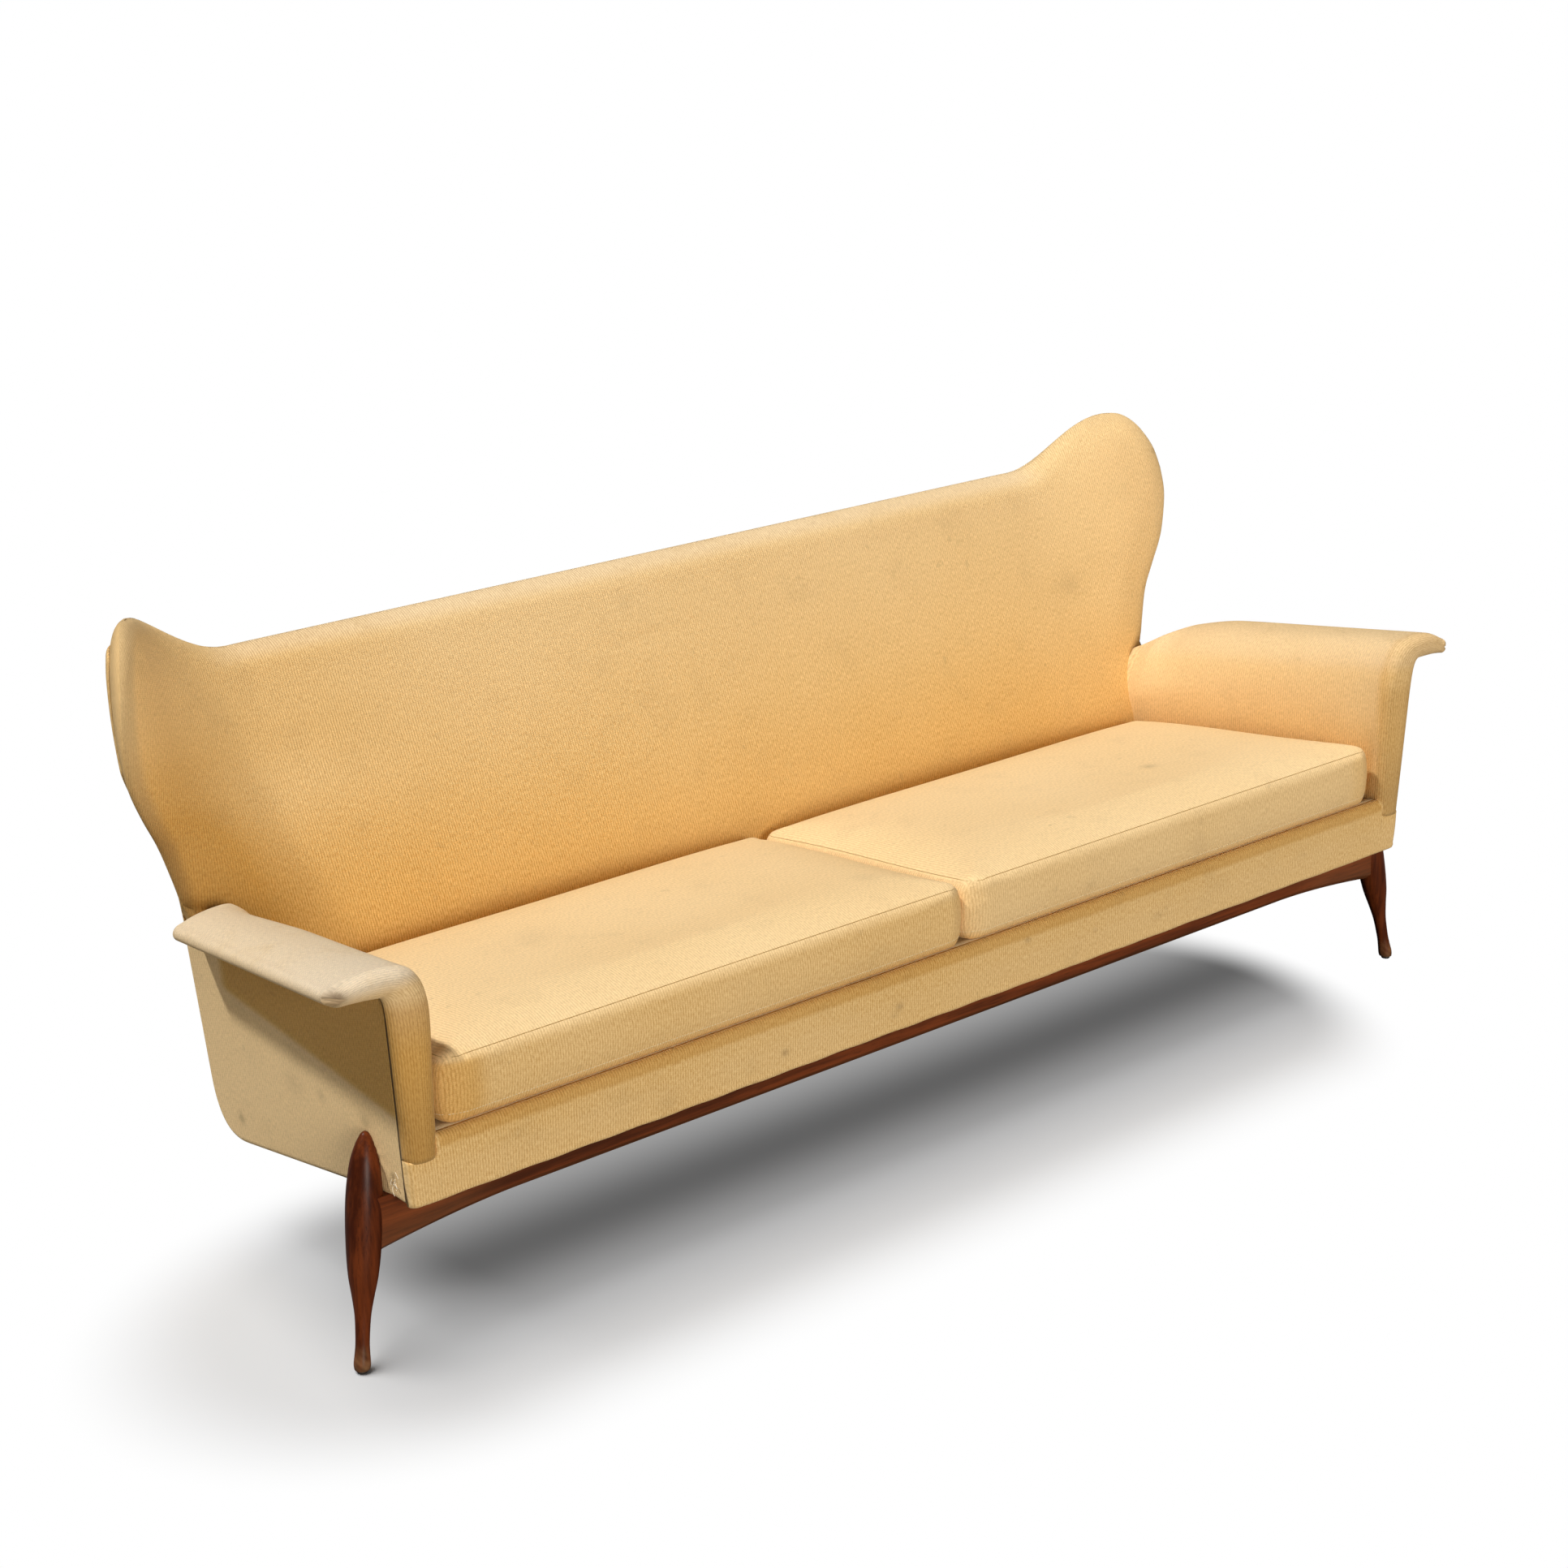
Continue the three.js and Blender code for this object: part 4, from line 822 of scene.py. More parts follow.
def seam_nodes():
    """A thin rounded line of cloth or thread along a path."""
    found = bpy.data.node_groups.get("seam line")
    if found:
        return found
    tree, given, result = new_nodes("seam line", [("Radius", 0.0009), ("Step", 0.008)])
    curve = tree.nodes.new("GeometryNodeMeshToCurve")
    feed(tree, curve.inputs[0], given["Path"])
    steps = tree.nodes.new("GeometryNodeResampleCurve")
    steps.mode = "LENGTH"
    feed(tree, steps.inputs["Curve"], curve.outputs[0])
    feed(tree, steps.inputs["Length"], given["Step"])
    circle = tree.nodes.new("GeometryNodeCurvePrimitiveCircle")
    circle.inputs["Resolution"].default_value = 6
    feed(tree, circle.inputs["Radius"], given["Radius"])
    tube = tree.nodes.new("GeometryNodeCurveToMesh")
    tube.inputs["Fill Caps"].default_value = True
    feed(tree, tube.inputs["Curve"], steps.outputs[0])
    feed(tree, tube.inputs["Profile Curve"], circle.outputs[0])
    finished(tree, given, tube.outputs[0], result)
    return tree


def path_piece(name, lines, tree, material, closed=False, **sizes):
    """Runs a node tree along one or more lines of points given in frame places."""
    points, edges = [], []
    for line in lines:
        start = len(points)
        points.extend(np.asarray(line, float).tolist())
        edges.extend((start + i, start + i + 1) for i in range(len(line) - 1))
        if closed:
            edges.append((len(points) - 1, start))
    mesh = bpy.data.meshes.new(name)
    mesh.from_pydata(points, edges, [])
    piece = bpy.data.objects.new(name, mesh)
    bpy.context.scene.collection.objects.link(piece)
    modifier = piece.modifiers.new(name, "NODES")
    modifier.node_group = tree
    sockets = {s.name: s.identifier for s in tree.interface.items_tree if s.in_out == "INPUT"}
    modifier[sockets["Finish"]] = material
    for key, value in sizes.items():
        modifier[sockets[key]] = value
    return apply_modifiers(piece)


# Properties

class SofaSizes(bpy.types.PropertyGroup):
    """Sizes of the sewn and stuffed work."""
    back_roll: bpy.props.FloatProperty(
        name="Back edge roll", description="Radius of the rolled edge of back and wings",
        default=ROLL_RADIUS, min=0.01, max=0.05, subtype="DISTANCE", unit="LENGTH")
    arm_nose: bpy.props.FloatProperty(
        name="Arm front roll", description="Depth of the rounded front of each arm",
        default=ARM_NOSE, min=0.004, max=0.03, subtype="DISTANCE", unit="LENGTH")
    cushion_pressure: bpy.props.FloatProperty(
        name="Cushion pressure", description="How firmly the foam fills the cushion covers", default=4.0, min=0.0, max=12.0)
    cushion_swell: bpy.props.FloatProperty(
        name="Cushion swell", description="Most that the cover may move when it is filled",
        default=0.012, min=0.0, max=0.03, subtype="DISTANCE", unit="LENGTH")
    stitch_spacing: bpy.props.FloatProperty(
        name="Stitch spacing", description="Distance from stitch to stitch",
        default=0.005, min=0.002, max=0.02, subtype="DISTANCE", unit="LENGTH")
    seam_radius: bpy.props.FloatProperty(
        name="Seam radius", description="Radius of the thin seam lines",
        default=0.0005, min=0.0003, max=0.003, subtype="DISTANCE", unit="LENGTH")


def colour_property(name, description, default):
    return bpy.props.FloatVectorProperty(name=name, description=description, default=default, size=3, min=0.0, max=1.0,
                                         subtype="COLOR")


class SofaFinish(bpy.types.PropertyGroup):
    """Colours and weave of the finishes."""
    cloth: colour_property("Cloth", "Raised threads of the wool", (0.91, 0.625, 0.275))
    cloth_shade: colour_property("Cloth valleys", "Sunk threads of the wool", (0.55, 0.285, 0.065))
    cloth_faded: colour_property("Faded cloth", "Wool faded by light", (0.92, 0.680, 0.375))
    cloth_worn: colour_property("Worn cloth", "Rubbed wool on the arms", (0.84, 0.700, 0.520))
    cloth_soil: colour_property("Soil", "Grubby marks on the wool", (0.16, 0.095, 0.045))
    walnut_dark: colour_property("Dark walnut", "Dark figure of the legs and rail", (0.045, 0.0085, 0.0025))
    walnut_light: colour_property("Light walnut", "Light figure of the legs and rail", (0.165, 0.0350, 0.0080))
    rib_pitch: bpy.props.FloatProperty(
        name="Rib pitch", description="Distance from rib to rib of the weave",
        default=0.0045, min=0.001, max=0.02, subtype="DISTANCE", unit="LENGTH")
    thread_pitch: bpy.props.FloatProperty(
        name="Thread pitch", description="Distance from cross thread to cross thread",
        default=0.003, min=0.001, max=0.02, subtype="DISTANCE", unit="LENGTH")


# Pieces

def back_columns():
    """Runs along the unrolled back, close together at the wings."""
    plain = np.linspace(0, WING_START, 50)
    bend = np.linspace(WING_START, SLAB_HALF, 26)[1:]
    neck = np.array([SLAB_HALF + 0.0012, SLAB_HALF + 0.006, NECK_X])
    wing = NECK_X + (WING_REACH - NECK_X) * np.sin(np.linspace(0, math.pi / 2, 38))[1:]
    half = np.concatenate([plain, bend, neck, wing])
    return np.concatenate([-half[::-1], half[1:]])


def profile_length(z):
    """Length along the back's inner face from its foot up to a height."""
    levels = np.linspace(BACK_BOTTOM - 0.01, EAR_TIP_Z + 0.01, 400)
    length = np.concatenate([[0], np.cumsum(np.hypot(np.diff(levels), np.diff(inner_y(levels))))])
    return np.interp(z, levels, length)


def make_back(context):
    roll = context.scene.sofa_sizes.back_roll
    runs = back_columns()
    low, high = sheet_bottom(np.abs(runs)), sheet_top(np.abs(runs))
    knee = np.clip(0.492, low, high)
    lower = low[:, None] + (knee - low)[:, None] * np.linspace(0, 1, 22)[:-1]
    heights = np.hstack([lower, edge_steps(knee, high, roll, 11, 56)])
    grid = np.repeat(runs[:, None], heights.shape[1], axis=1)
    depth = half_thickness(grid, heights, roll)
    slow = half_thickness(grid, heights, roll * 3)
    share = smooth((np.abs(grid) - 0.86) / 0.16)
    ahead = depth + (slow - depth) * share
    uneven = wave(np.column_stack([grid.ravel(), heights.ravel()]), 3, 6, 3.0).reshape(grid.shape) * 0.0012
    fade = smooth(depth / 0.02)
    front = sheet_place(grid, heights, -ahead + uneven * fade)
    behind = rear_depth(grid, heights, roll)
    rear = sheet_place(grid, heights, behind)[:, ::-1]
    rings = np.concatenate([front, rear[:, 1:]], axis=1)
    level = profile_length(heights)
    length = np.concatenate([level, 2 * level[:, -1:] + 0.05 - level[:, ::-1][:, 1:], level[:, :1] - 0.06], axis=1)
    over = (depth.max() - depth) * smooth((np.abs(grid) - 0.98) / 0.10)
    spread = grid + np.sign(grid) * over
    across = np.concatenate([spread, spread[:, ::-1][:, 1:], spread[:, :1]], axis=1)
    away = distance_to_line(np.column_stack([np.abs(grid).ravel(), heights.ravel()]), ROLLED_EDGE).reshape(grid.shape)
    rim = (1 - smooth((away - 0.006) / 0.018)) * smooth((np.abs(grid) - 0.96) / 0.08)
    rim = np.concatenate([rim, rim[:, ::-1][:, 1:] * 0.5], axis=1)
    piece = skin("back_upholstery", rings, np.stack([across, length], axis=-1), [("rim", rim.ravel())])
    tidy(piece)
    dent(piece, [((-0.10, inner_y(0.70), 0.70), (0.10, 0.05, 0.012), 0.0012)])
    material = wool_material(context, "wool cover")
    soil_spots(piece, [((-0.955, 0.585, 0.565), 0.006, 0.85), ((-0.25, 0.65, 0.55), 0.02, 0.10),
                       ((0.86, 0.66, 0.62), 0.03, 0.12)])
    x, y, z = (coords(piece) - np.array([0, FRONT_Y, 0])).T
    inside = y < (inner_y(z) + rear_y(z)) / 2
    rim = attribute_values(piece, "rim") * np.where(x < 0, 1.0, 0.3)
    # Painted shade on the back: darker low down by the seat, in the corner and sweep below the left wing, over the
    # upper left and low on the left wing, a little less on the left rim, and half as much behind
    corner = np.exp(-((x + 1.03) / 0.11) ** 2 - ((z - 0.560) / 0.13) ** 2)
    sweep = np.exp(-((x + 0.80) / 0.30) ** 2 - ((z - 0.50) / 0.13) ** 2)
    shady = 0.30 * smooth((-x - 0.45) / 0.35) * smooth((z - 0.60) / 0.1)
    low_wing = smooth((-x - 0.80) / 0.20) * smooth((0.66 - z) / 0.12)
    painted_shade = 0.55 * smooth((0.60 - z) / 0.22) + 1.0 * corner + 0.30 * sweep + shady - 0.20 * rim + 0.5 * low_wing
    painted_shade = np.clip(painted_shade, 0, 1) * np.where(inside, 1.0, 0.5)
    set_attribute(piece, "painted_shade", painted_shade)
    # Paler towards the top where no shade is painted: fading and painted light
    set_attribute(piece, "faded_and_painted_light", 0.5 * smooth((z - 0.45) / 0.36) * (1 - painted_shade))
    # The top roll is painted paler with the worn colour: a painted highlight where the key light falls on it
    set_attribute(piece, "wear", 0.35 * smooth((z - 0.790) / 0.02) * (1 - smooth((np.abs(x) - 0.80) / 0.1)))
    # Soil along the left rim, partly grime and partly painted shade of the rolled edge, and painted shade in the corner
    # below the left wing, besides the stains
    dirt = attribute_values(piece, "soil")
    set_attribute(piece, "soil", np.maximum(dirt, np.clip(0.30 * rim + 0.30 * corner, 0, 1)))
    give(piece, "frame", material, ["back_pad"])
    return piece


def soil_spots(piece, spots, slit=None):
    """Writes how grubby each point is: dark spots given in body places, and painted shade of the slit along the edge at
    slit.
    """
    points = coords(piece)
    amount = np.zeros(len(points))
    for (x, y, z), radius, strength in spots:
        away = np.linalg.norm(points - np.array([x, y + FRONT_Y, z]), axis=1)
        amount = np.maximum(amount, strength * np.exp(-(away / radius) ** 2))
    if slit is not None:
        # Painted shade of the slit: dark along the cover's front edge
        amount = np.maximum(amount, 0.9 * smooth((slit + FRONT_Y + 0.0028 - points[:, 1]) / 0.0026))
    set_attribute(piece, "soil", amount)


def panel_outline(inset):
    """Edge of the rear panel in run and height: its low and top edges from the middle out to the wing's end."""
    end = WING_REACH - inset
    run = np.concatenate([np.linspace(0, SLAB_HALF - 0.001, 60), np.linspace(SLAB_HALF, end, 40)])
    top = sheet_top(np.minimum(run, end)) - inset
    low = np.where(run < SLAB_HALF, BACK_BOTTOM + 0.004, sheet_bottom(np.minimum(run, end)) + inset)
    return run, low, top


def make_rear_panel(context):
    end = WING_REACH - PANEL_INSET
    half = np.concatenate([np.linspace(0, WING_START, 40), np.linspace(WING_START, SLAB_HALF - 0.001, 16)[1:],
                           SLAB_HALF + (end - SLAB_HALF) * np.sin(np.linspace(0, math.pi / 2, 18))])
    runs = np.concatenate([-half[::-1], half[1:]])
    magnitude = np.abs(runs)
    low = np.where(magnitude < SLAB_HALF, BACK_BOTTOM + 0.002, sheet_bottom(np.minimum(magnitude, end)) + PANEL_INSET)
    high = sheet_top(np.minimum(magnitude, end)) - PANEL_INSET
    low = np.minimum(low, high - 0.002)
    knee = np.clip(0.535, low, high)
    lower = low[:, None] + (knee - low)[:, None] * np.linspace(0, 1, 20)[:-1]
    heights = np.hstack([lower, edge_steps(knee, high, 0.010, 5, 40)])
    grid = np.repeat(runs[:, None], heights.shape[1], axis=1)
    line = np.vstack([np.column_stack([half, sheet_top(np.minimum(half, end)) - PANEL_INSET]),
                      np.column_stack([half[half >= SLAB_HALF], sheet_bottom(half[half >= SLAB_HALF]) + PANEL_INSET])[::-1]])
    away = distance_to_line(np.column_stack([np.abs(grid).ravel(), heights.ravel()]), line).reshape(grid.shape)
    share = np.minimum(1, away / 0.007)
    puff = PANEL_THICKNESS * (0.25 + 0.75 * np.sqrt(1 - (1 - share) ** 2))
    base = rear_depth(grid, heights) + GAP
    rings = np.concatenate([sheet_place(grid, heights, base + puff), sheet_place(grid, heights, base)[:, ::-1]], axis=1)
    length = ring_lengths(rings)
    across = np.repeat(runs[:, None], length.shape[1], axis=1)
    piece = skin("back_outside_cover", rings, np.stack([across, length], axis=-1))
    tidy(piece)
    give(piece, "frame", wool_material(context, "wool cover"), ["back_rear_panel"])
    edge = line[::-1]
    both = np.vstack([np.column_stack([-edge[:, 0], edge[:, 1]]), np.column_stack([edge[::-1, 0], edge[::-1, 1]])])
    depth = rear_depth(both[:, 0], both[:, 1]) + 0.0012
    seam = sheet_place(both[:, 0], both[:, 1], depth) + np.array([0, FRONT_Y, 0])
    thread = plain_material("seam thread", (0.55, 0.38, 0.18), 0.8)
    row = path_piece("back_slip_stitches", [seam], stitch_nodes(), thread, Spacing=0.008, Length=0.005, Radius=0.0007)
    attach(row, "frame")


def flare_lift(y, rise):
    return rise * smooth((0.62 - y) / 0.22)


def arm_paths(y, rise, wrapped=False):
    """Inner and outer paths of an arm's section at a station, equally many points each, meeting at the tip.

    The rise lifts the flare. Where the front strip wraps round the arm's end, the outer path lies on the
    body's outer side."""
    crest = float(crest_z(y)) - ARM_REAR_DROP * float(smooth((y - FLARE_REAR_Y) / (ARM_REAR_Y - FLARE_REAR_Y)))
    bottom, ledge, face = ARM_SEAT - SEAT_SLOPE * y, float(deck_z(y)) + GAP, float(face_x(y))
    flare = 1 - smooth((y - FLARE_REAR_Y) / FLARE_END)
    narrow = smooth((y - FLARE_REAR_Y) / (ARM_REAR_Y - FLARE_REAR_Y))
    cover = 0.0006 if wrapped else COVER_THICKNESS + GAP
    lifted = float(flare_lift(y, rise))
    root = crest - FLARE_ROOT + lifted * 0.9
    start = crest - ARM_CURVE + lifted * 0.5
    crest += lifted
    droop = FLARE_DROOP + lifted * 0.45

    def wall(z):
        return (1 - narrow) * (outer_x(z) - cover) + narrow * (ARM_REAR_HALF - 0.004)

    reach = FLARE_FRONT + (FLARE_REAR - FLARE_FRONT) * max(0.0, y) / FLARE_REAR_Y
    shut = outer_x(root) * (1 - narrow) + ARM_REAR_HALF * narrow
    tip = shut + (reach - shut) * flare
    run = ARM_INNER + ARM_CREST_RUN - ARM_CREST_TAPER * float(arm_taper(y)) - face
    crest_x = face + min(run, (tip - face) * 0.5)
    radius = FLARE_TIP / 2
    low, step, tall, bend, flat, turn = 5, 3, 12, 18, 14, 9
    straight = float(smooth((y - 0.30) / 0.25))
    inner = [np.column_stack([np.full(low, ARM_INNER), np.linspace(bottom, ledge, low + 1)[:-1]]),
             np.column_stack([np.linspace(ARM_INNER, face, step + 1)[:-1], np.full(step, ledge)]),
             np.column_stack([np.full(tall, face), np.linspace(ledge, start, tall + 1)[:-1]]),
             bezier([(face, start), (face + (crest_x - face) * 0.2 * straight, crest - ARM_CURVE / 3),
                     (face + (crest_x - face) * (0.4 + 0.25 * straight), crest - 0.002 - 0.010 * straight),
                     (crest_x, crest)], np.linspace(0, 1, bend + 1)[:-1])]
    across = np.linspace(0, 1, flat + 1)[:-1]
    inner.append(np.column_stack([crest_x + (tip - radius - crest_x) * across,
                                  crest + 0.0035 * np.sin(across * math.pi) ** 0.8 - droop * across ** 2.5]))
    angle = np.linspace(0, math.pi / 2, turn)
    level = crest - droop - radius
    inner.append(np.column_stack([tip - radius + radius * np.sin(angle), level + radius * np.cos(angle)]))
    inner = np.vstack(inner)
    z = np.linspace(bottom, start, low + step + tall + 1)[:-1]
    outer = [np.column_stack([wall(z), z])]
    corner = (float(wall(root)), root)
    outer.append(bezier([(float(wall(start)), start), (corner[0], root - 0.014), corner, (corner[0] + 0.014, root)],
                        np.linspace(0, 1, bend + 1)[:-1]))
    outer.append(np.column_stack([corner[0] + 0.014 + (tip - radius - corner[0] - 0.014) * across,
                                  root + (level - radius - root) * across]))
    outer.append(np.column_stack([tip - radius + radius * np.sin(angle), level - radius * np.cos(angle)]))
    return inner, np.vstack(outer)


def arm_stations():
    body = np.concatenate([[ARM_FRONT + ARM_NOSE + 0.0006], np.linspace(0.0215, FLARE_REAR_Y - 0.01, 42)])
    end = np.linspace(FLARE_REAR_Y, FLARE_REAR_Y + FLARE_END, 14)
    return np.concatenate([body, end, np.linspace(FLARE_REAR_Y + FLARE_END, ARM_REAR_Y, 18)[1:]])


def arm_rings(nose, rise):
    """Rings of an arm, drawn on the right: its rounded front, drawn from the middle line outwards, then its sections."""
    inner, outer = arm_paths(ARM_FRONT + nose, rise, True)
    middle = (inner + outer) / 2
    deep = np.minimum(nose, np.linalg.norm(inner - outer, axis=1) / 2 * 1.05)
    rings = []
    for share in np.linspace(0, 1, 13):
        angle = share * math.pi / 2
        spread = math.sin(angle) ** 0.92
        y = ARM_FRONT + deep * (1 - math.cos(angle) ** 0.92)
        ring = np.vstack([middle + (inner - middle) * spread, (middle + (outer - middle) * spread)[::-1][1:]])
        rings.append(np.column_stack([ring[:, 0], np.concatenate([y, y[::-1][1:]]), ring[:, 1]]))
    for y in arm_stations():
        front, back = arm_paths(y, rise)
        ring = np.vstack([front, back[::-1][1:]])
        end = inner_y(ring[:, 1]) + ARM_RETURN
        rings.append(np.column_stack([ring[:, 0], np.minimum(y, end), ring[:, 1]]))
    rings = np.array(rings)
    y = rings[..., 1] - ARM_FRONT
    reach = FLARE_FRONT + (FLARE_REAR - FLARE_FRONT) * np.maximum(0, rings[..., 1]) / FLARE_REAR_Y
    base = reach - 3 * FLARE_CORNER
    past = np.clip(1 - y / FLARE_CORNER, 0, 1)
    most = reach - FLARE_CORNER * (1 - np.sqrt(1 - past ** 2))
    share = np.maximum(0, rings[..., 0] - base) / (reach - base)
    rings[..., 0] = np.where(rings[..., 0] > base, base + (most - base) * share, rings[..., 0])
    return rings


def make_arm(context):
    material = wool_material(context, "wool cover")
    for hand, side, rise in (("right", 1, FLARE_RISE_RIGHT), ("left", -1, 0.0)):
        rings = arm_rings(context.scene.sofa_sizes.arm_nose, rise)
        length = ring_lengths(rings)
        along = np.cumsum(np.concatenate([[0], np.linalg.norm(np.diff(rings[:, 14], axis=0), axis=1)]))
        along = np.repeat(along[:, None], length.shape[1], axis=1)
        rings[..., 0] *= side
        piece = skin(f"arm_upholstery_{hand}", rings, np.stack([along, length], axis=-1))
        wear_arm(piece, 1.0 if hand == "left" else 0.25)
        tidy(piece)
        give(piece, "frame", material, [f"arm_pad_{hand}"])


def wear_arm(piece, amount):
    """The rubbed, paler top and front of an arm, with grubby tips, and painted light and shade: painted shade in the
    slit, on the front strip and low on the inner face by the deck, and paler cloth above, partly fading and partly
    painted light.
    """
    points = coords(piece)
    y = points[:, 1] - FRONT_Y
    crest = crest_z(y)
    top = smooth((points[:, 2] - crest + 0.035) / 0.03)
    front = smooth((0.02 - y) / 0.02) * smooth((points[:, 2] - 0.47) / 0.10)
    wear = np.clip(top * (0.75 + 0.25 * smooth((0.3 - y) / 0.3)) + 0.20 * front, 0, 1) * amount
    set_attribute(piece, "wear", wear)
    side = np.sign(points[:, 0].mean())
    tip = np.array([side * 1.141, 0.003 + FRONT_Y, 0.590])
    away = np.linalg.norm((points - tip) / np.array([1.3, 1.0, 0.8]), axis=1)
    uneven = 0.75 + 0.25 * wave(points * 40, 8)
    soil = np.clip(1.5 * np.exp(-(away / 0.014) ** 2) * uneven, 0, 0.9) * min(1, amount + 0.1)
    # Painted shade in the slit, on the outer wall just behind the front strip
    wall = smooth((points[:, 0] * side - outer_x(points[:, 2]) + 0.020) / 0.003)
    slit = wall * smooth((y - 0.0160) / 0.0036) * (y < 0.034) * (points[:, 2] < crest - FLARE_ROOT + 0.002)
    # The front strip is darkened: grime, and painted shade of the strip turned away from the light
    strip = smooth((0.021 - y) / 0.006) * smooth((crest - 0.040 - points[:, 2]) / 0.03)
    grubby = strip * (0.08 + 0.20 * smooth((0.47 - points[:, 2]) / 0.12))
    set_attribute(piece, "soil", np.maximum(np.maximum(soil, grubby), slit * 0.95))
    # Painted shade low on the inner face by the deck and on the front strip; paler above, partly fading and partly
    # painted light
    low = smooth((deck_z(y) + 0.20 - points[:, 2]) / 0.16) * (y > 0.03)
    set_attribute(piece, "faded_and_painted_light", 0.45 * (1 - low) * (y > 0.03))
    set_attribute(piece, "painted_shade", np.maximum(0.55 * low, 0.95 * strip * (1.0 if side < 0 else 0.4)))


def side_outline():
    """Low and high edges of a side cover against Y, with the rounded rear corner."""
    def rear(z):
        return SIDE_REAR_Y + SIDE_REAR_LEAN * (z - SIDE_REAR_Z)

    corner_z = SIDE_REAR_Z
    for _ in range(12):
        corner_z = float(underside_z(rear(corner_z)))
    corner_y = rear(corner_z)
    curve = bezier([(corner_y - SIDE_CORNER_RUN, float(underside_z(corner_y - SIDE_CORNER_RUN))), (corner_y, corner_z),
                    (rear(corner_z + SIDE_CORNER_RISE), corner_z + SIDE_CORNER_RISE)], np.linspace(0, 1, 24))
    top_z = 0.5
    for _ in range(12):
        top_z = float(crest_z(rear(top_z))) - COVER_TOP_DROP
    low = np.vstack([[COVER_FRONT, float(underside_z(COVER_FRONT))], [UNDERSIDE_KNEE, float(underside_z(UNDERSIDE_KNEE))],
                     curve, [rear(top_z), top_z]])
    return low, rear(top_z), top_z


def make_side_cover(context):
    low_line, rear_end, top_z = side_outline()
    outline = np.vstack([low_line, [COVER_FRONT, float(crest_z(COVER_FRONT)) - COVER_TOP_DROP]])
    head = COVER_FRONT + 0.012 * (1 - np.cos(np.linspace(0, math.pi / 2, 9)))
    body = np.linspace(COVER_FRONT + 0.0165, low_line[-2, 0] - 0.012, 110)
    tail = body[-1] + (rear_end - 1e-4 - body[-1]) * np.sin(np.linspace(0, math.pi / 2, 26))[1:]
    stations = np.concatenate([head, body, tail])
    low = np.interp(stations, low_line[:, 0], low_line[:, 1])
    high = crest_z(stations) - COVER_TOP_DROP
    high = np.maximum(high, low + 1e-4)
    heights = edge_steps(low, high, 0.012, 8, 68)
    grid = np.repeat(stations[:, None], heights.shape[1], axis=1)
    places = np.column_stack([grid.ravel(), heights.ravel()])
    away = distance_to_line(places, outline).reshape(grid.shape)
    share = np.minimum(np.minimum(1, away / COVER_ROUND), np.maximum(0, grid - COVER_FRONT) / 0.003)
    half = COVER_THICKNESS / 2 * np.sqrt(np.maximum(0, 1 - (1 - share) ** 2))
    middle = outer_x(heights) - COVER_THICKNESS / 2
    uneven = wave(places, 12, 5, 5.0).reshape(grid.shape) * 0.0007 * share - 0.0007
    gather = leg_gather(grid, heights)
    outside = np.stack([middle + half + uneven + gather, grid, heights], axis=-1)
    inside = np.stack([middle - half, grid, heights], axis=-1)[:, ::-1]
    rings = np.concatenate([outside, inside], axis=1)
    across = np.concatenate([grid, grid[:, ::-1], grid[:, :1]], axis=1)
    length = np.concatenate([heights, 2 * heights[:, -1:] - heights[:, ::-1], heights[:, :1]], axis=1)
    right = skin("side_upholstery_right", rings, np.stack([across, length], axis=-1))
    tidy(right)
    left = mirrored(right, "side_upholstery_left")
    points = coords(right)
    y = points[:, 1] - FRONT_Y
    near_top = smooth((points[:, 2] - crest_z(y) + COVER_TOP_DROP + 0.09) / 0.07)
    points[:, 2] += 0.9 * flare_lift(y, FLARE_RISE_RIGHT) * near_top
    points[:, 0] += 0.9 * SIDE_LEAN * flare_lift(y, FLARE_RISE_RIGHT) * near_top
    set_coords(right, points)
    material = wool_material(context, "wool cover")
    for piece, hand in ((right, "right"), (left, "left")):
        side = 1 if hand == "right" else -1
        # The spot at the leg's top is painted shade where the cloth gathers round the leg
        spots = [((side * 1.05, 0.30, 0.33), 0.022, 0.18), ((side * 1.04, 0.22, 0.34), 0.010, 0.22),
                 ((side * 1.03, 0.105, 0.345), 0.013, 0.60), ((side * 1.03, 0.47, 0.205), 0.008, 0.45),
                 ((side * 1.05, 0.16, 0.352), 0.006, 0.25), ((side * 1.05, 0.33, 0.348), 0.006, 0.30)]
        if side < 0:
            spots += [((-1.036, 0.047, 0.283), 0.005, 0.75), ((-1.036, 0.050, 0.272), 0.004, 0.70)]
        soil_spots(piece, spots, COVER_FRONT)
        y, z = (coords(piece) - np.array([0, FRONT_Y, 0]))[:, 1:].T
        # Painted shadow of the flare: deeper, darker colour above a sloping line, forward of the rear part; elsewhere
        # the side is painted paler, as its lit part
        shade = smooth((z - 0.374 - 0.08 * y) / 0.016) * (1 - smooth((y - 0.455) / 0.03))
        set_attribute(piece, "faded_and_painted_light", 0.6 * (1 - shade))
        set_attribute(piece, "painted_shade", 0.85 * shade)
        give(piece, "frame", material, [f"side_cover_{hand}"])
    return right, left


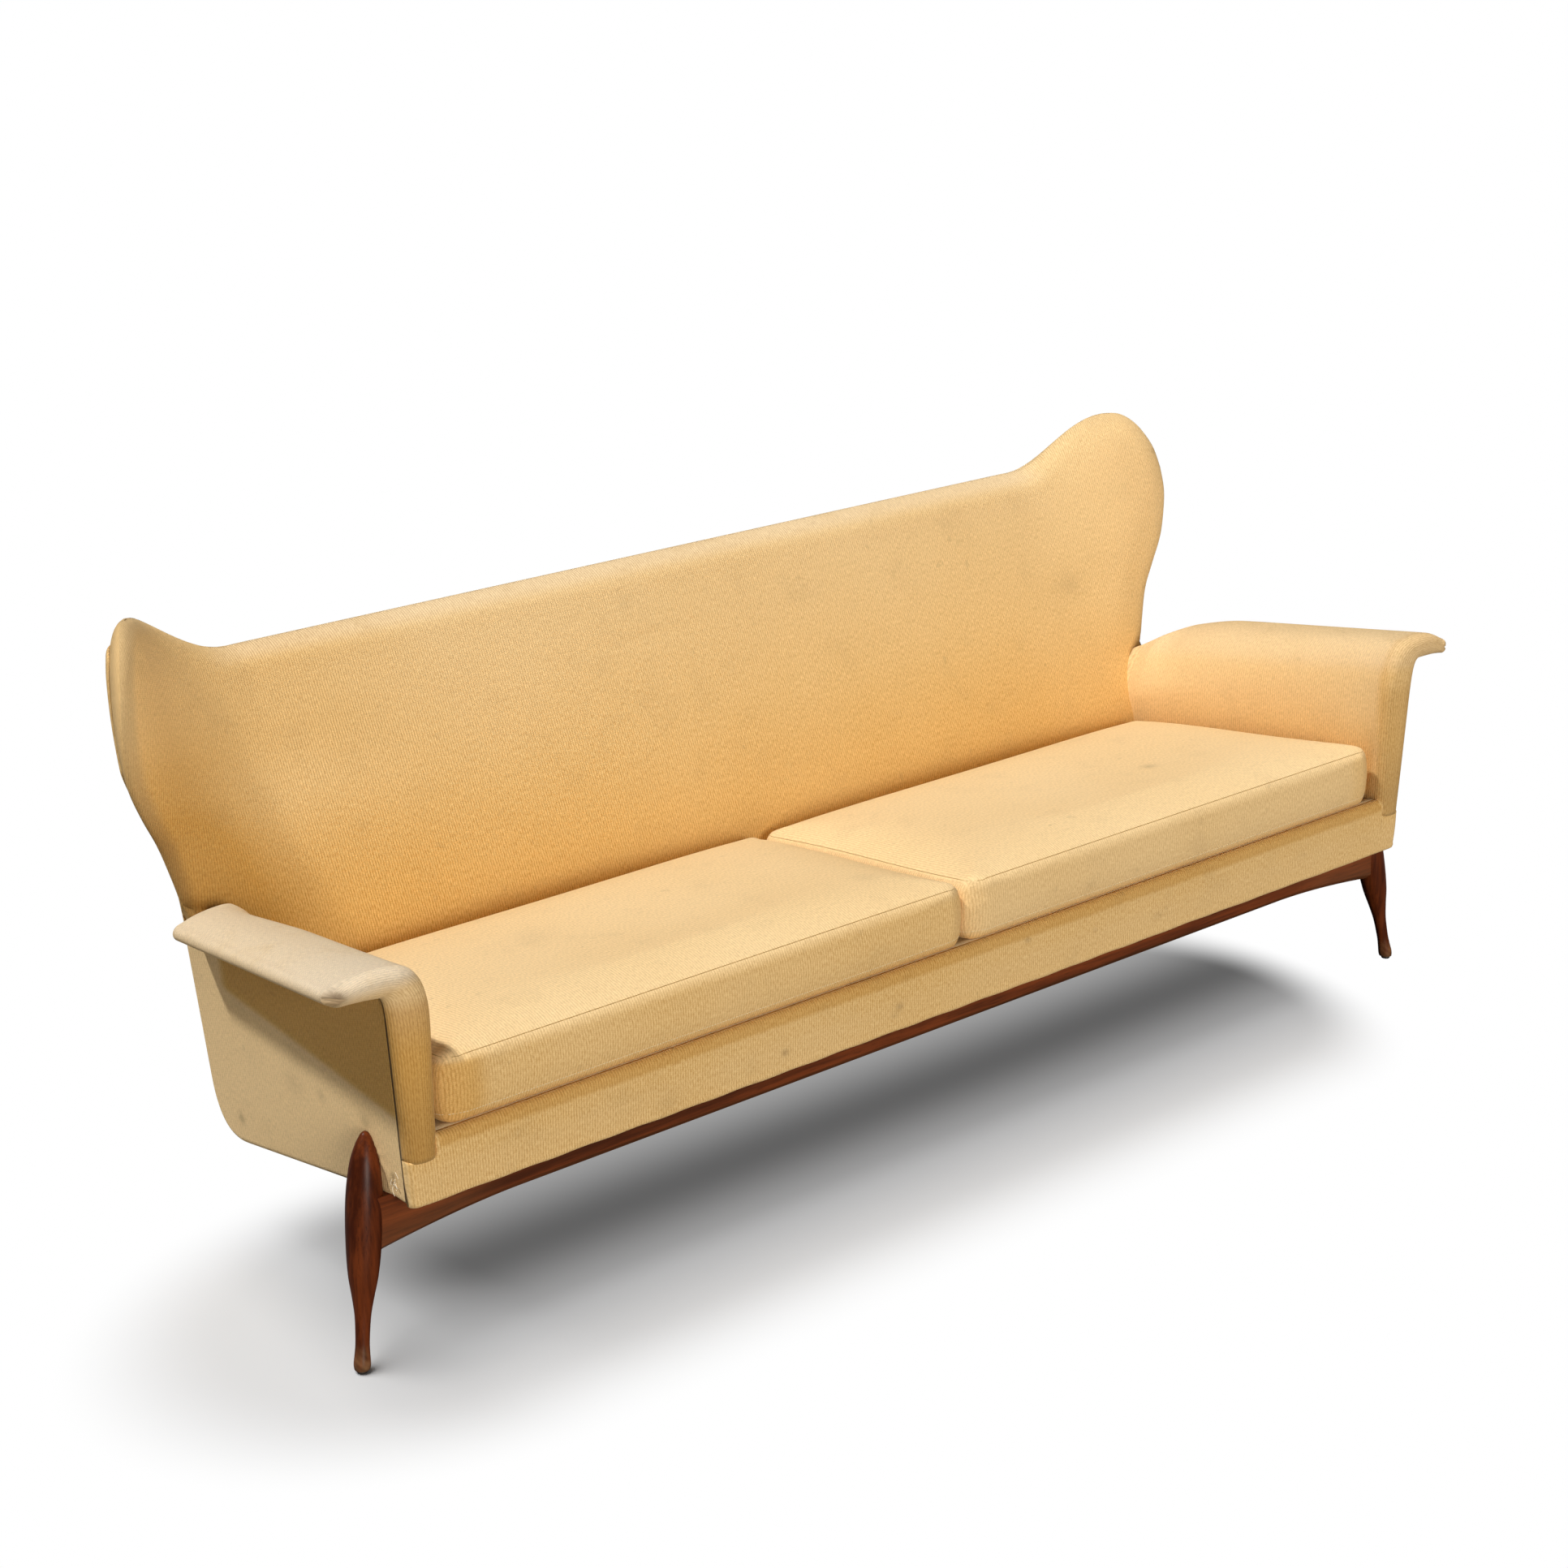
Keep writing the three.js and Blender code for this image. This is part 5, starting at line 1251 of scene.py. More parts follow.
def make_end_details(context):
    """Dark tubes of painted shade along the slit beside each front strip, and loose threads at the small tear by the
    left leg.
    """
    # The slit tubes are painted shade: dark pieces laid where the slit is in shadow
    dark = plain_material("slit shade", (0.075, 0.042, 0.018), 0.98)
    lines, low_lines = [], []
    for side in (-1, 1):
        z = np.linspace(0.2535, 0.566, 40)
        lines.append(np.column_stack([side * (outer_x(z) - 0.0012), np.full(40, 0.0197 + FRONT_Y), z]))
        low_lines.append(lines[-1][:14] - np.array([side * 0.0006, -0.0004, 0]))
    for name, group, radius in (("end_slit_painted_shade", lines, 0.0009), ("end_slit_painted_shade_low", low_lines, 0.0015)):
        piece = path_piece(name, group, seam_nodes(), dark, Radius=radius, Step=0.006)
        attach(piece, "frame")
    draw = np.random.default_rng(11)
    strands = []
    for k in range(9):
        start = np.array([-(outer_x(0.27) + 0.0008), 0.046 + draw.uniform(-0.008, 0.006), 0.262 + draw.uniform(0, 0.030)])
        bend = start + np.array([-0.002, draw.uniform(-0.008, 0.002), draw.uniform(-0.010, 0.010)])
        end = bend + np.array([0.001, draw.uniform(-0.006, 0.004), draw.uniform(-0.010, 0.004)])
        strands.append(bezier([start, bend, end], np.linspace(0, 1, 8)) + np.array([0, FRONT_Y, 0]))
    thread = plain_material("loose thread", (0.86, 0.76, 0.58), 0.9)
    piece = path_piece("torn_threads", strands, seam_nodes(), thread, Radius=0.00045, Step=0.002)
    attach(piece, "frame")


def leg_axis(z):
    share = (z - LEG_FOOT[2]) / (LEG_TOP[2] - LEG_FOOT[2])
    return LEG_FOOT[None] + np.asarray(share)[:, None] * (LEG_TOP - LEG_FOOT)[None]


def leg_profile(count=72):
    line = spline([(LEG_RADIUS * r, h) for r, h in LEG_SHARES], count)
    return line[:, 0], line[:, 1]


def leg_gather(y, z):
    """Cloth drawn together round the leg's top: small radial folds and a raised lip."""
    radius, share = leg_profile()
    level = share * LEG_TOP[2]
    axis = leg_axis(z.ravel()).reshape(*z.shape, 3)
    wide = np.interp(z, level, radius, left=radius[0], right=0.0)
    over = np.maximum(0, z - LEG_TOP[2])
    away = np.hypot(y - axis[..., 1], over * 1.2) - wide
    angle = np.arctan2(y - axis[..., 1], z - (LEG_TOP[2] - 0.03))
    folds = np.cos(angle * 9 + 0.7) * 0.5 + 0.5
    near = np.exp(-np.maximum(0, away) / 0.012) * smooth((z - 0.21) / 0.05)
    return near * (0.0016 * folds - 0.0010)


def make_apron(context):
    edge = BODY_HALF - 0.0006
    half = np.concatenate([np.linspace(0, 0.97, 90), np.linspace(0.974, ARM_INNER - 0.0008, 6),
                           np.linspace(ARM_INNER - 0.0002, edge - 0.012, 12),
                           edge - 0.011 + 0.011 * np.sin(np.linspace(0, math.pi / 2, 10))[1:]])
    stations = np.concatenate([-half[::-1], half[1:]])
    rings = []
    for x in stations:
        under = abs(x) > ARM_INNER - 0.0004
        top = ARM_SEAT - 0.0006 if under else APRON_TOP
        corner = 0.004 if under else APRON_TOP_RADIUS
        closing = np.clip((abs(x) - edge + 0.011) / 0.011, 0, 1)
        draw = 0.010 * (1 - math.sqrt(1 - closing ** 2))
        behind = APRON_THICKNESS if abs(x) < edge - COVER_THICKNESS - 0.001 else 0.0190
        lean = SIDE_LEAN * smooth((abs(x) - 0.8) / 0.2) * np.sign(x)
        low = BODY_BOTTOM + 0.0006
        hem = np.array([[APRON_THICKNESS, low], [0.009, low - 0.0004], [0.005, low], [0.0016, low + 0.0026],
                        [0, low + 0.007]])
        levels = np.linspace(low + 0.012, top - corner - 0.003, 22)
        belly = 0.0014 * np.sin((levels - low) / (top - low) * math.pi)
        face = np.column_stack([0.0016 - belly, levels])
        angle = np.linspace(0, math.pi / 2, 7)
        roll = np.column_stack([corner * (1 - np.cos(angle)) + 0.0010, top - corner + corner * np.sin(angle)])
        slope = SEAT_SLOPE * (APRON_THICKNESS - corner)
        ring = np.vstack([hem, face, roll, [APRON_THICKNESS, top - (0 if under else slope)]])
        ring[:, 0] = np.minimum(ring[:, 0] + draw, behind)
        rings.append(np.column_stack([x + lean * (ring[:, 1] - BODY_BOTTOM), ring[:, 0], ring[:, 1]]))
    rings = np.array(rings)
    uneven = wave(rings.reshape(-1, 3) * np.array([1, 0, 1]), 21, 6, 7.0).reshape(rings.shape[:2])
    rings[..., 1] += 0.0005 * (1 + uneven) * (rings[..., 1] < 0.012)
    hem_wave = wave(rings[:, :1, 0].reshape(-1, 1) * 10, 4, 6, 2.0)[:, None]
    rings[:, :4, 2] += 0.0012 * hem_wave
    length = ring_lengths(rings)
    across = np.repeat(stations[:, None], length.shape[1], axis=1)
    piece = skin("apron_upholstery", rings, np.stack([across, length], axis=-1))
    tidy(piece)
    spots = [((-0.38, 0, 0.283), 0.006, 0.45), ((0.12, 0, 0.325), 0.005, 0.40), ((-0.60, 0, 0.27), 0.02, 0.12),
             ((-0.155, 0, 0.290), 0.005, 0.55), ((-0.158, 0, 0.283), 0.004, 0.55), ((-0.166, 0, 0.277), 0.003, 0.5),
             ((0.42, 0, 0.285), 0.006, 0.35), ((0.78, 0, 0.30), 0.005, 0.32), ((-0.86, 0, 0.31), 0.010, 0.15)]
    soil_spots(piece, spots)
    points = coords(piece)
    # Painted shadow of the cushions: a deeper, darker band along the apron's top between the arms, with a little soil
    # added to it; slightly paler lower down
    shaded = np.abs(points[:, 0]) < ARM_INNER
    band = smooth((points[:, 2] - APRON_TOP + 0.021) / 0.005) * shaded
    set_attribute(piece, "painted_shade", 0.70 * band)
    set_attribute(piece, "soil", np.maximum(attribute_values(piece, "soil"), 0.08 * band))
    set_attribute(piece, "faded_and_painted_light", 0.12 * smooth((APRON_TOP - 0.03 - points[:, 2]) / 0.03))
    give(piece, "frame", wool_material(context, "wool cover"), ["front_apron"])
    return piece


def cushion_grid():
    """A boxed cushion as a closed grid: its points in shares, quads, and which rows are seams."""
    nx, ny, nz = 104, 58, 12
    index, shares, faces = {}, [], []

    def point(i, j, k):
        key = (i, j, k)
        if key not in index:
            index[key] = len(shares)
            shares.append((2 * i / nx - 1, 2 * j / ny - 1, k / nz))
        return index[key]

    for i in range(nx):
        for j in range(ny):
            faces.append((point(i, j, nz), point(i + 1, j, nz), point(i + 1, j + 1, nz), point(i, j + 1, nz)))
            faces.append((point(i, j, 0), point(i, j + 1, 0), point(i + 1, j + 1, 0), point(i + 1, j, 0)))
    for k in range(nz):
        for i in range(nx):
            faces.append((point(i, 0, k), point(i + 1, 0, k), point(i + 1, 0, k + 1), point(i, 0, k + 1)))
            faces.append((point(i + 1, ny, k), point(i, ny, k), point(i, ny, k + 1), point(i + 1, ny, k + 1)))
        for j in range(ny):
            faces.append((point(0, j + 1, k), point(0, j, k), point(0, j, k + 1), point(0, j + 1, k + 1)))
            faces.append((point(nx, j, k), point(nx, j + 1, k), point(nx, j + 1, k + 1), point(nx, j, k + 1)))

    def loop(k):
        front = [point(i, 0, k) for i in range(nx)] + [point(nx, j, k) for j in range(ny)]
        return front + [point(i, ny, k) for i in range(nx, 0, -1)] + [point(0, j, k) for j in range(ny, 0, -1)]

    return np.array(shares), faces, loop(nz), loop(1)


def turn_edge(inset, drop, radius):
    """Turns a square edge of a box into an arc: new inset and drop of points near it."""
    angle = (np.clip((inset - drop) / radius, -1, 1) + 1) * math.pi / 4
    near = np.abs(inset - drop) < radius
    return (np.where(near, radius * (1 - np.cos(angle)), inset), np.where(near, radius * (1 - np.sin(angle)), drop))


def cushion_points(shares):
    """Points of a boxed cushion: crowned top, round edges, bellied sides, its outer end slanted like the arm."""
    length = CUSHION_OUTER - CUSHION_GAP / 2 - 0.006
    rear = SEAT_REAR_Y - CUSHION_REAR_GAP - 0.003
    depth = rear - CUSHION_FRONT
    u, v, w = shares.T
    half_y = depth / 2
    y = v * half_y
    past = np.clip((np.abs(y) - half_y + CUSHION_CORNER) / CUSHION_CORNER, 0, 1)
    width = length / 2 - CUSHION_CORNER * (1 - np.sqrt(1 - past ** 2))
    x = u * width
    base = DECK_FRONT + GAP
    thickness = CUSHION_TOP + SEAT_SLOPE * CUSHION_FRONT - base
    first = CUSHION_SEAM_Z / thickness
    level = np.where(w < 1 / 12, w * 12 * first, first + (w - 1 / 12) / (11 / 12) * (1 - first))
    inset_x, inset_y = width - np.abs(x), half_y - np.abs(y)
    along_x = inset_x < inset_y
    inset = np.minimum(inset_x, inset_y)
    upper = level > 0.5
    drop = np.where(upper, 1 - level, level) * thickness
    radius = np.where(upper, CUSHION_EDGE, CUSHION_LOW_EDGE)
    new_inset, new_drop = turn_edge(inset, drop, radius)
    belly = CUSHION_BELLY * np.sin(np.clip(level, 0, 1) * math.pi) * (inset < 1e-6)
    shift = new_inset - inset - belly
    x = np.where(along_x, np.sign(x) * (np.abs(x) - shift), x)
    y = np.where(along_x, y, np.sign(y) * (np.abs(y) - shift))
    crown = CUSHION_CROWN * (1 - u ** 6) * (1 - v ** 6) * (w > 0.999)
    lift = CUSHION_REAR_LIFT * smooth((v + 0.8) / 1.4) * level
    middle = CUSHION_FRONT + depth / 2
    z = base + np.where(upper, thickness - new_drop, new_drop) - SEAT_SLOPE * (middle + y)
    outward = (1 + x / (length / 2)) / 2
    x = x - ARM_SEAT_TAPER * arm_taper(middle + y) * outward
    return np.column_stack([x, middle + y, z + crown + lift])


def swell(piece, pinned, pressure, limit):
    """Fills the cover: a short cloth simulation under pressure, with sewn edges held and movement limited."""
    rest = coords(piece)
    group = piece.vertex_groups.new(name="sewn")
    for weight in np.unique(pinned[pinned > 0]):
        group.add(np.flatnonzero(pinned == weight).tolist(), float(weight), "REPLACE")
    cloth = piece.modifiers.new("filling", "CLOTH")
    settings = cloth.settings
    settings.quality = 4
    settings.mass = 0.35
    settings.tension_stiffness = settings.compression_stiffness = 18
    settings.shear_stiffness = 6
    settings.bending_stiffness = 1.5
    settings.use_pressure = True
    settings.uniform_pressure_force = pressure
    settings.vertex_group_mass = "sewn"
    settings.effector_weights.gravity = 0
    cloth.point_cache.frame_start, cloth.point_cache.frame_end = 1, 20
    scene = bpy.context.scene
    for moment in range(1, 21):
        scene.frame_set(moment)
    shown = piece.evaluated_get(bpy.context.evaluated_depsgraph_get())
    made = shown.to_mesh()
    filled = np.zeros(len(made.vertices) * 3, np.float32)
    made.vertices.foreach_get("co", filled)
    filled = filled.reshape(-1, 3).astype(float)
    shown.to_mesh_clear()
    piece.modifiers.remove(cloth)
    piece.vertex_groups.clear()
    scene.frame_set(1)
    move = filled - rest
    size = np.linalg.norm(move, axis=1)
    print(piece.name, "filled by", round(float(size.max()) * 1000, 1), "mm at most")
    move *= np.minimum(1, limit / np.maximum(size, 1e-9))[:, None]
    set_coords(piece, rest + move)


def settle(piece, side):
    """Keeps a cushion on the deck, before the back, off its neighbour and off the arm."""
    points = coords(piece)
    y = points[:, 1] - FRONT_Y
    points[:, 2] = np.maximum(points[:, 2], deck_z(y) + GAP)
    y = np.minimum(y, inner_y(points[:, 2]) - 0.0015)
    reach = np.clip(points[:, 0] * side, 0.0007, face_x(y) - 0.0012)
    points[:, 0], points[:, 1] = reach * side, y + FRONT_Y
    set_coords(piece, points)


def box_cloth(piece, centre_x):
    """Cloth coordinates of a boxed cushion: plan on top and bottom, running length on the boxing."""
    mesh = piece.data
    layer = mesh.uv_layers.new(name="cloth")
    points = coords(piece)
    points[:, 0] -= centre_x
    uv = np.zeros((len(mesh.loops), 2), np.float32)
    for polygon in mesh.polygons:
        n = polygon.normal
        for loop in polygon.loop_indices:
            x, y, z = points[mesh.loops[loop].vertex_index]
            if abs(n.z) > 0.6:
                uv[loop] = (x, y)
            elif abs(n.y) >= abs(n.x):
                uv[loop] = (x, z)
            else:
                uv[loop] = (y, z)
    layer.data.foreach_set("uv", uv.ravel())


def make_cushion(context, hand, side):
    sizes = context.scene.sofa_sizes
    shares, faces, top_seam, low_seam = cushion_grid()
    points = cushion_points(shares)
    centre = side * (CUSHION_OUTER + CUSHION_GAP / 2) / 2
    points[:, 0] = points[:, 0] * side + centre
    piece = build_mesh(f"seat_cushion_cover_{hand}", points, faces if side > 0 else [f[::-1] for f in faces])
    pinned = np.where(shares[:, 2] < 0.04, 1.0, 0.0)
    pinned[low_seam] = 0.8
    pinned[top_seam] = 0.55
    swell(piece, pinned, sizes.cushion_pressure, sizes.cushion_swell)
    # Paler top, partly fading and partly painted light, the left boxing less so than the right; painted shade at the
    # outer ends, more on the left, where the arm's shadow falls, and along the bottom edge
    boxing = 0.12 if side < 0 else 0.40
    set_attribute(piece, "faded_and_painted_light", boxing + (0.75 - boxing) * np.clip(shares[:, 2] * 4 - 3, 0, 1))
    ends = smooth((shares[:, 0] - 0.90) / 0.08) * (1 - 0.75 * (shares[:, 2] > 0.9)) * (0.7 if side < 0 else 0.3)
    set_attribute(piece, "painted_shade", np.maximum(ends, 0.5 * np.clip(1 - shares[:, 2] * 12, 0, 1)))
    settle(piece, side)
    corner = CUSHION_OUTER - 0.004 - CUSHION_CORNER * 0.3
    inner_front = (side * (CUSHION_GAP / 2 + 0.010), CUSHION_FRONT + 0.012, CUSHION_TOP - 0.020)
    outer_front = (side * corner, CUSHION_FRONT + 0.010, CUSHION_TOP - 0.020)
    marks = [(inner_front, (0.012, 0.012, 0.022), 0.004), (outer_front, (0.012, 0.012, 0.022), 0.003),
             ((side * 0.045, CUSHION_FRONT, CUSHION_TOP - 0.028), (0.030, 0.02, 0.010), 0.0035),
             ((side * 0.080, CUSHION_FRONT, CUSHION_TOP - 0.050), (0.035, 0.02, 0.014), 0.0022),
             ((side * 0.90, CUSHION_FRONT, CUSHION_TOP - 0.035), (0.040, 0.02, 0.012), 0.0020),
             ((side * 0.50, 0.24, CUSHION_TOP - 0.03), (0.22, 0.13, 0.08), 0.0045)]
    dent(piece, marks)
    modifier = piece.modifiers.new("soft", "SUBSURF")
    modifier.levels = modifier.render_levels = 1
    apply_modifiers(piece)
    settle(piece, side)
    kept = coords(piece)
    box_cloth(piece, centre)
    spots = {"left": [((-0.12, 0.12, 0.45), 0.020, 0.12), ((-0.62, 0.30, 0.42), 0.035, 0.12)],
             "right": [((0.60, 0.20, 0.445), 0.013, 0.30), ((0.52, 0.0, 0.425), 0.006, 0.35),
                       ((0.26, 0.0, 0.38), 0.012, 0.14)]}
    soil_spots(piece, spots[hand])
    body = f"cushion_{hand}"
    give(piece, body, wool_material(context, "wool cushion cover", 0.55), [f"seat_cushion_{hand}"])
    top = kept[top_seam]
    low = kept[low_seam]
    # The dark line along the top seam is painted shade of the seam's groove
    dark = plain_material("seam shade", (0.46, 0.28, 0.09), 0.95)
    thread = plain_material("seam thread light", (0.90, 0.74, 0.46), 0.85)
    seam = path_piece(f"cushion_seams_{hand}", [top], seam_nodes(), dark, True, Radius=sizes.seam_radius, Step=0.009)
    rows = path_piece(f"cushion_low_stitches_{hand}", [low], stitch_nodes(), thread, True,
                      Spacing=sizes.stitch_spacing, Length=0.0042, Radius=0.0007)
    for extra in (seam, rows):
        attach(extra, body)
    return piece


def turned(name, foot, top, radius, share, sides=56):
    """A turned leg: radii at shares of the way from foot to top."""
    axis = top - foot
    length = np.linalg.norm(axis)
    direction = axis / length
    across = np.cross(direction, [0.0, 1.0, 0.0])
    across /= np.linalg.norm(across)
    other = np.cross(direction, across)
    angle = np.linspace(0, 2 * math.pi, sides, endpoint=False)
    circle = np.cos(angle)[:, None] * across + np.sin(angle)[:, None] * other
    rings = np.array([foot + direction * length * s + circle * r for r, s in zip(radius, share)])
    return skin(name, rings), rings


def level_foot(piece, height):
    points = coords(piece)
    points[:, 2] = np.maximum(points[:, 2], height)
    set_coords(piece, points)


def worn_wood(piece, chips, foot_z=0.05):
    """Writes rubbed, chipped and dirty places of a leg or rail."""
    points = coords(piece)
    body = points - np.array([0, FRONT_Y, 0])
    low = smooth((foot_z - points[:, 2]) / foot_z)
    rough = wave(points * 60, 31, 6)
    wear = np.clip(low * (0.35 + 0.45 * rough), 0, 0.6)
    for place, radius, amount in chips:
        away = np.linalg.norm(body - np.array(place), axis=1)
        wear = np.maximum(wear, amount * (away < radius * (1 + 0.4 * rough)))
    set_attribute(piece, "wear", wear)
    set_attribute(piece, "soil", np.clip(smooth((0.018 - points[:, 2]) / 0.018) * 0.7, 0, 1))


def make_front_legs(context):
    finish = context.scene.sofa_finish
    material = walnut(finish, "walnut legs", (3.0, 3.0, 0.16))
    radius, share = leg_profile(110)
    radius = np.concatenate([radius, [radius[-1] * 0.6, radius[-1] * 0.15]])
    share = np.concatenate([share, [0.994, 0.998]])
    for hand, side in (("left", -1), ("right", 1)):
        flip = np.array([side, 1, 1])
        piece, _ = turned(f"front_leg_turned_{hand}", LEG_FOOT * flip, LEG_TOP * flip, radius, share)
        level_foot(piece, GLIDE_HEIGHT + GAP)
        chips = []
        if hand == "left":
            chips = [((-1.102, 0.045, 0.128), 0.0022, 0.9), ((-1.108, 0.048, 0.115), 0.0012, 0.8),
                     ((-1.109, 0.040, 0.080), 0.003, 0.9), ((-1.094, 0.040, 0.030), 0.003, 0.6)]
        worn_wood(piece, chips)
        give(piece, "frame", material, [f"front_leg_{hand}"])
        foot = LEG_FOOT * flip + (LEG_TOP - LEG_FOOT) * flip * GLIDE_HEIGHT / LEG_TOP[2]
        make_glide(f"front_foot_glide_{hand}", foot, 0.008, [f"front_glide_{hand}"])


def make_glide(name, centre, radius, nodes):
    turn = np.linspace(0, 2 * math.pi, 32, endpoint=False)
    circle = np.column_stack([np.cos(turn), np.sin(turn), np.zeros(32)])
    shape = [(0.45, 0.0), (0.80, 0.0), (0.92, 0.0004), (0.98, 0.0014), (1.0, 0.0030), (1.0, GLIDE_HEIGHT)]
    base = np.array([centre[0], centre[1], 0])
    rings = np.array([base + circle * radius * r + np.array([0, 0, z]) for r, z in shape])
    piece = skin(name, rings)
    give(piece, "frame", plain_material("glide moulding", (0.030, 0.026, 0.022), 0.5), nodes)


def walnut(finish, name, scale, lift=1.0):
    dark, light = (tuple(c * lift for c in colour) for colour in (finish.walnut_dark, finish.walnut_light))
    return wood_material(name, dark, light, 0.36, scale)


def make_front_rail(context):
    tip = RAIL_LOW - HAUNCH_DROP
    axis_x = LEG_FOOT[0] + (LEG_TOP[0] - LEG_FOOT[0]) * tip / LEG_TOP[2]
    end = axis_x - LEG_RADIUS * 0.45
    half = np.concatenate([np.linspace(0, HAUNCH_START, 20), np.linspace(HAUNCH_START, end, 34)[1:]])
    stations = np.concatenate([-half[::-1], half[1:]])
    rear = RAIL_FRONT + RAIL_THICKNESS
    top_front = float(underside_z(RAIL_FRONT)) + 0.003 - GAP
    top_rear = float(underside_z(rear)) + 0.003 - GAP
    rings = []
    for x in stations:
        share = max(0.0, abs(x) - HAUNCH_START) / (end - HAUNCH_START)
        low = RAIL_LOW - HAUNCH_DROP * share ** HAUNCH_POWER
        chamfer = RAIL_CHAMFER * (1 - 0.25 * share)
        corners = [(RAIL_FRONT, top_front), (RAIL_FRONT, low + chamfer), (RAIL_FRONT + chamfer, low), (rear, low),
                   (rear, top_rear)]
        rings.append([(x, y, z) for y, z in rounded(corners, 0.0022)])
    piece = skin("front_rail_haunched", np.array(rings))
    piece.data.polygons.foreach_set("use_smooth", [True] * len(piece.data.polygons))
    worn_wood(piece, [((-1.03, 0.070, 0.165), 0.002, 0.7), ((-0.62, 0.066, 0.192), 0.002, 0.6)], 0.001)
    # The rail's lower part is painted paler with the worn colour: painted light on its front-lit lower face, against
    # the apron's shadow above
    rubbed = 0.02 + 0.12 * smooth((0.198 - coords(piece)[:, 2]) / 0.008)
    set_attribute(piece, "wear", np.maximum(attribute_values(piece, "wear"), rubbed))
    give(piece, "frame", walnut(context.scene.sofa_finish, "walnut rail", (0.16, 3.0, 3.0), 1.2), ["front_rail"])


def rounded(corners, radius, steps=3):
    """A polygon with each corner turned in a small arc."""
    corners = np.array(corners, float)
    found = []
    for i, corner in enumerate(corners):
        before, after = corners[i - 1] - corner, corners[(i + 1) % len(corners)] - corner
        cut = min(radius, np.linalg.norm(before) * 0.4, np.linalg.norm(after) * 0.4)
        start = corner + before / np.linalg.norm(before) * cut
        finish = corner + after / np.linalg.norm(after) * cut
        found.extend(bezier([start, corner, finish], np.linspace(0, 1, steps + 1)))
    return found


def make_rear_legs(context):
    material = walnut(context.scene.sofa_finish, "walnut legs", (3.0, 3.0, 0.16))
    share = np.linspace(0, 1, 30)
    for hand, side in (("left", -1), ("right", 1)):
        flip = np.array([side, 1, 1])
        radius = 0.012 + (0.021 - 0.012) * share
        piece, _ = turned(f"rear_leg_turned_{hand}", REAR_LEG_FOOT * flip, REAR_LEG_TOP * flip, radius, share, 40)
        points = coords(piece)
        points[:, 2] = np.clip(points[:, 2], GLIDE_HEIGHT + GAP, 0.1824)
        set_coords(piece, points)
        worn_wood(piece, [])
        give(piece, "frame", material, [f"rear_leg_{hand}"])
        foot = REAR_LEG_FOOT * flip + (REAR_LEG_TOP - REAR_LEG_FOOT) * flip * GLIDE_HEIGHT / REAR_LEG_TOP[2]
        make_glide(f"rear_foot_glide_{hand}", foot, 0.010, [f"rear_glide_{hand}"])


def cloth_sheet(name, low_corner, high_corner, z_at, thickness, sag, columns=60, rows=24):
    """A thin stretched sheet that sags a little between its edges."""
    x = np.linspace(low_corner[0], high_corner[0], columns)
    y = np.linspace(low_corner[1], high_corner[1], rows)
    grid_y = np.repeat(y[None], columns, axis=0)
    grid_x = np.repeat(x[:, None], rows, axis=1)
    middle = np.sin(np.linspace(0, math.pi, rows))[None] * np.sin(np.linspace(0, math.pi, columns))[:, None]
    top = z_at(grid_y) - sag * middle
    upper = np.stack([grid_x, grid_y, top], axis=-1)
    lower = np.stack([grid_x, grid_y, top - thickness], axis=-1)[:, ::-1]
    return skin(name, np.concatenate([upper, lower], axis=1))


def make_hidden_cloth(context):
    deck_low, deck_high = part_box("seat_deck")
    deck = cloth_sheet("seat_deck_cloth", (deck_low.x, deck_low.y - FRONT_Y), (deck_high.x, deck_high.y - FRONT_Y),
                       lambda y: DECK_FRONT - SEAT_SLOPE * y - 0.0002, 0.0025, 0.001)
    flatten(deck)
    material = woven_material("deck cotton", (0.72, 0.55, 0.32), (0.45, 0.31, 0.15), 0.0016)
    give(deck, "frame", material, ["seat_deck"])
    dust_low, dust_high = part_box("dust_sheet")
    slope = UNDERSIDE_SLOPE
    start = dust_low.y - FRONT_Y
    under = cloth_sheet("dust_cloth", (dust_low.x + 0.006, start), (dust_high.x - 0.006, dust_high.y - FRONT_Y),
                        lambda y: dust_high.z - 0.0005 - slope * (y - start), 0.0012, 0.003)
    flatten(under)
    dark = woven_material("dust sheet", (0.030, 0.029, 0.028), (0.012, 0.012, 0.012), 0.0014)
    give(under, "frame", dark, ["dust_sheet"])


def flatten(piece):
    piece.data.polygons.foreach_set("use_smooth", [True] * len(piece.data.polygons))


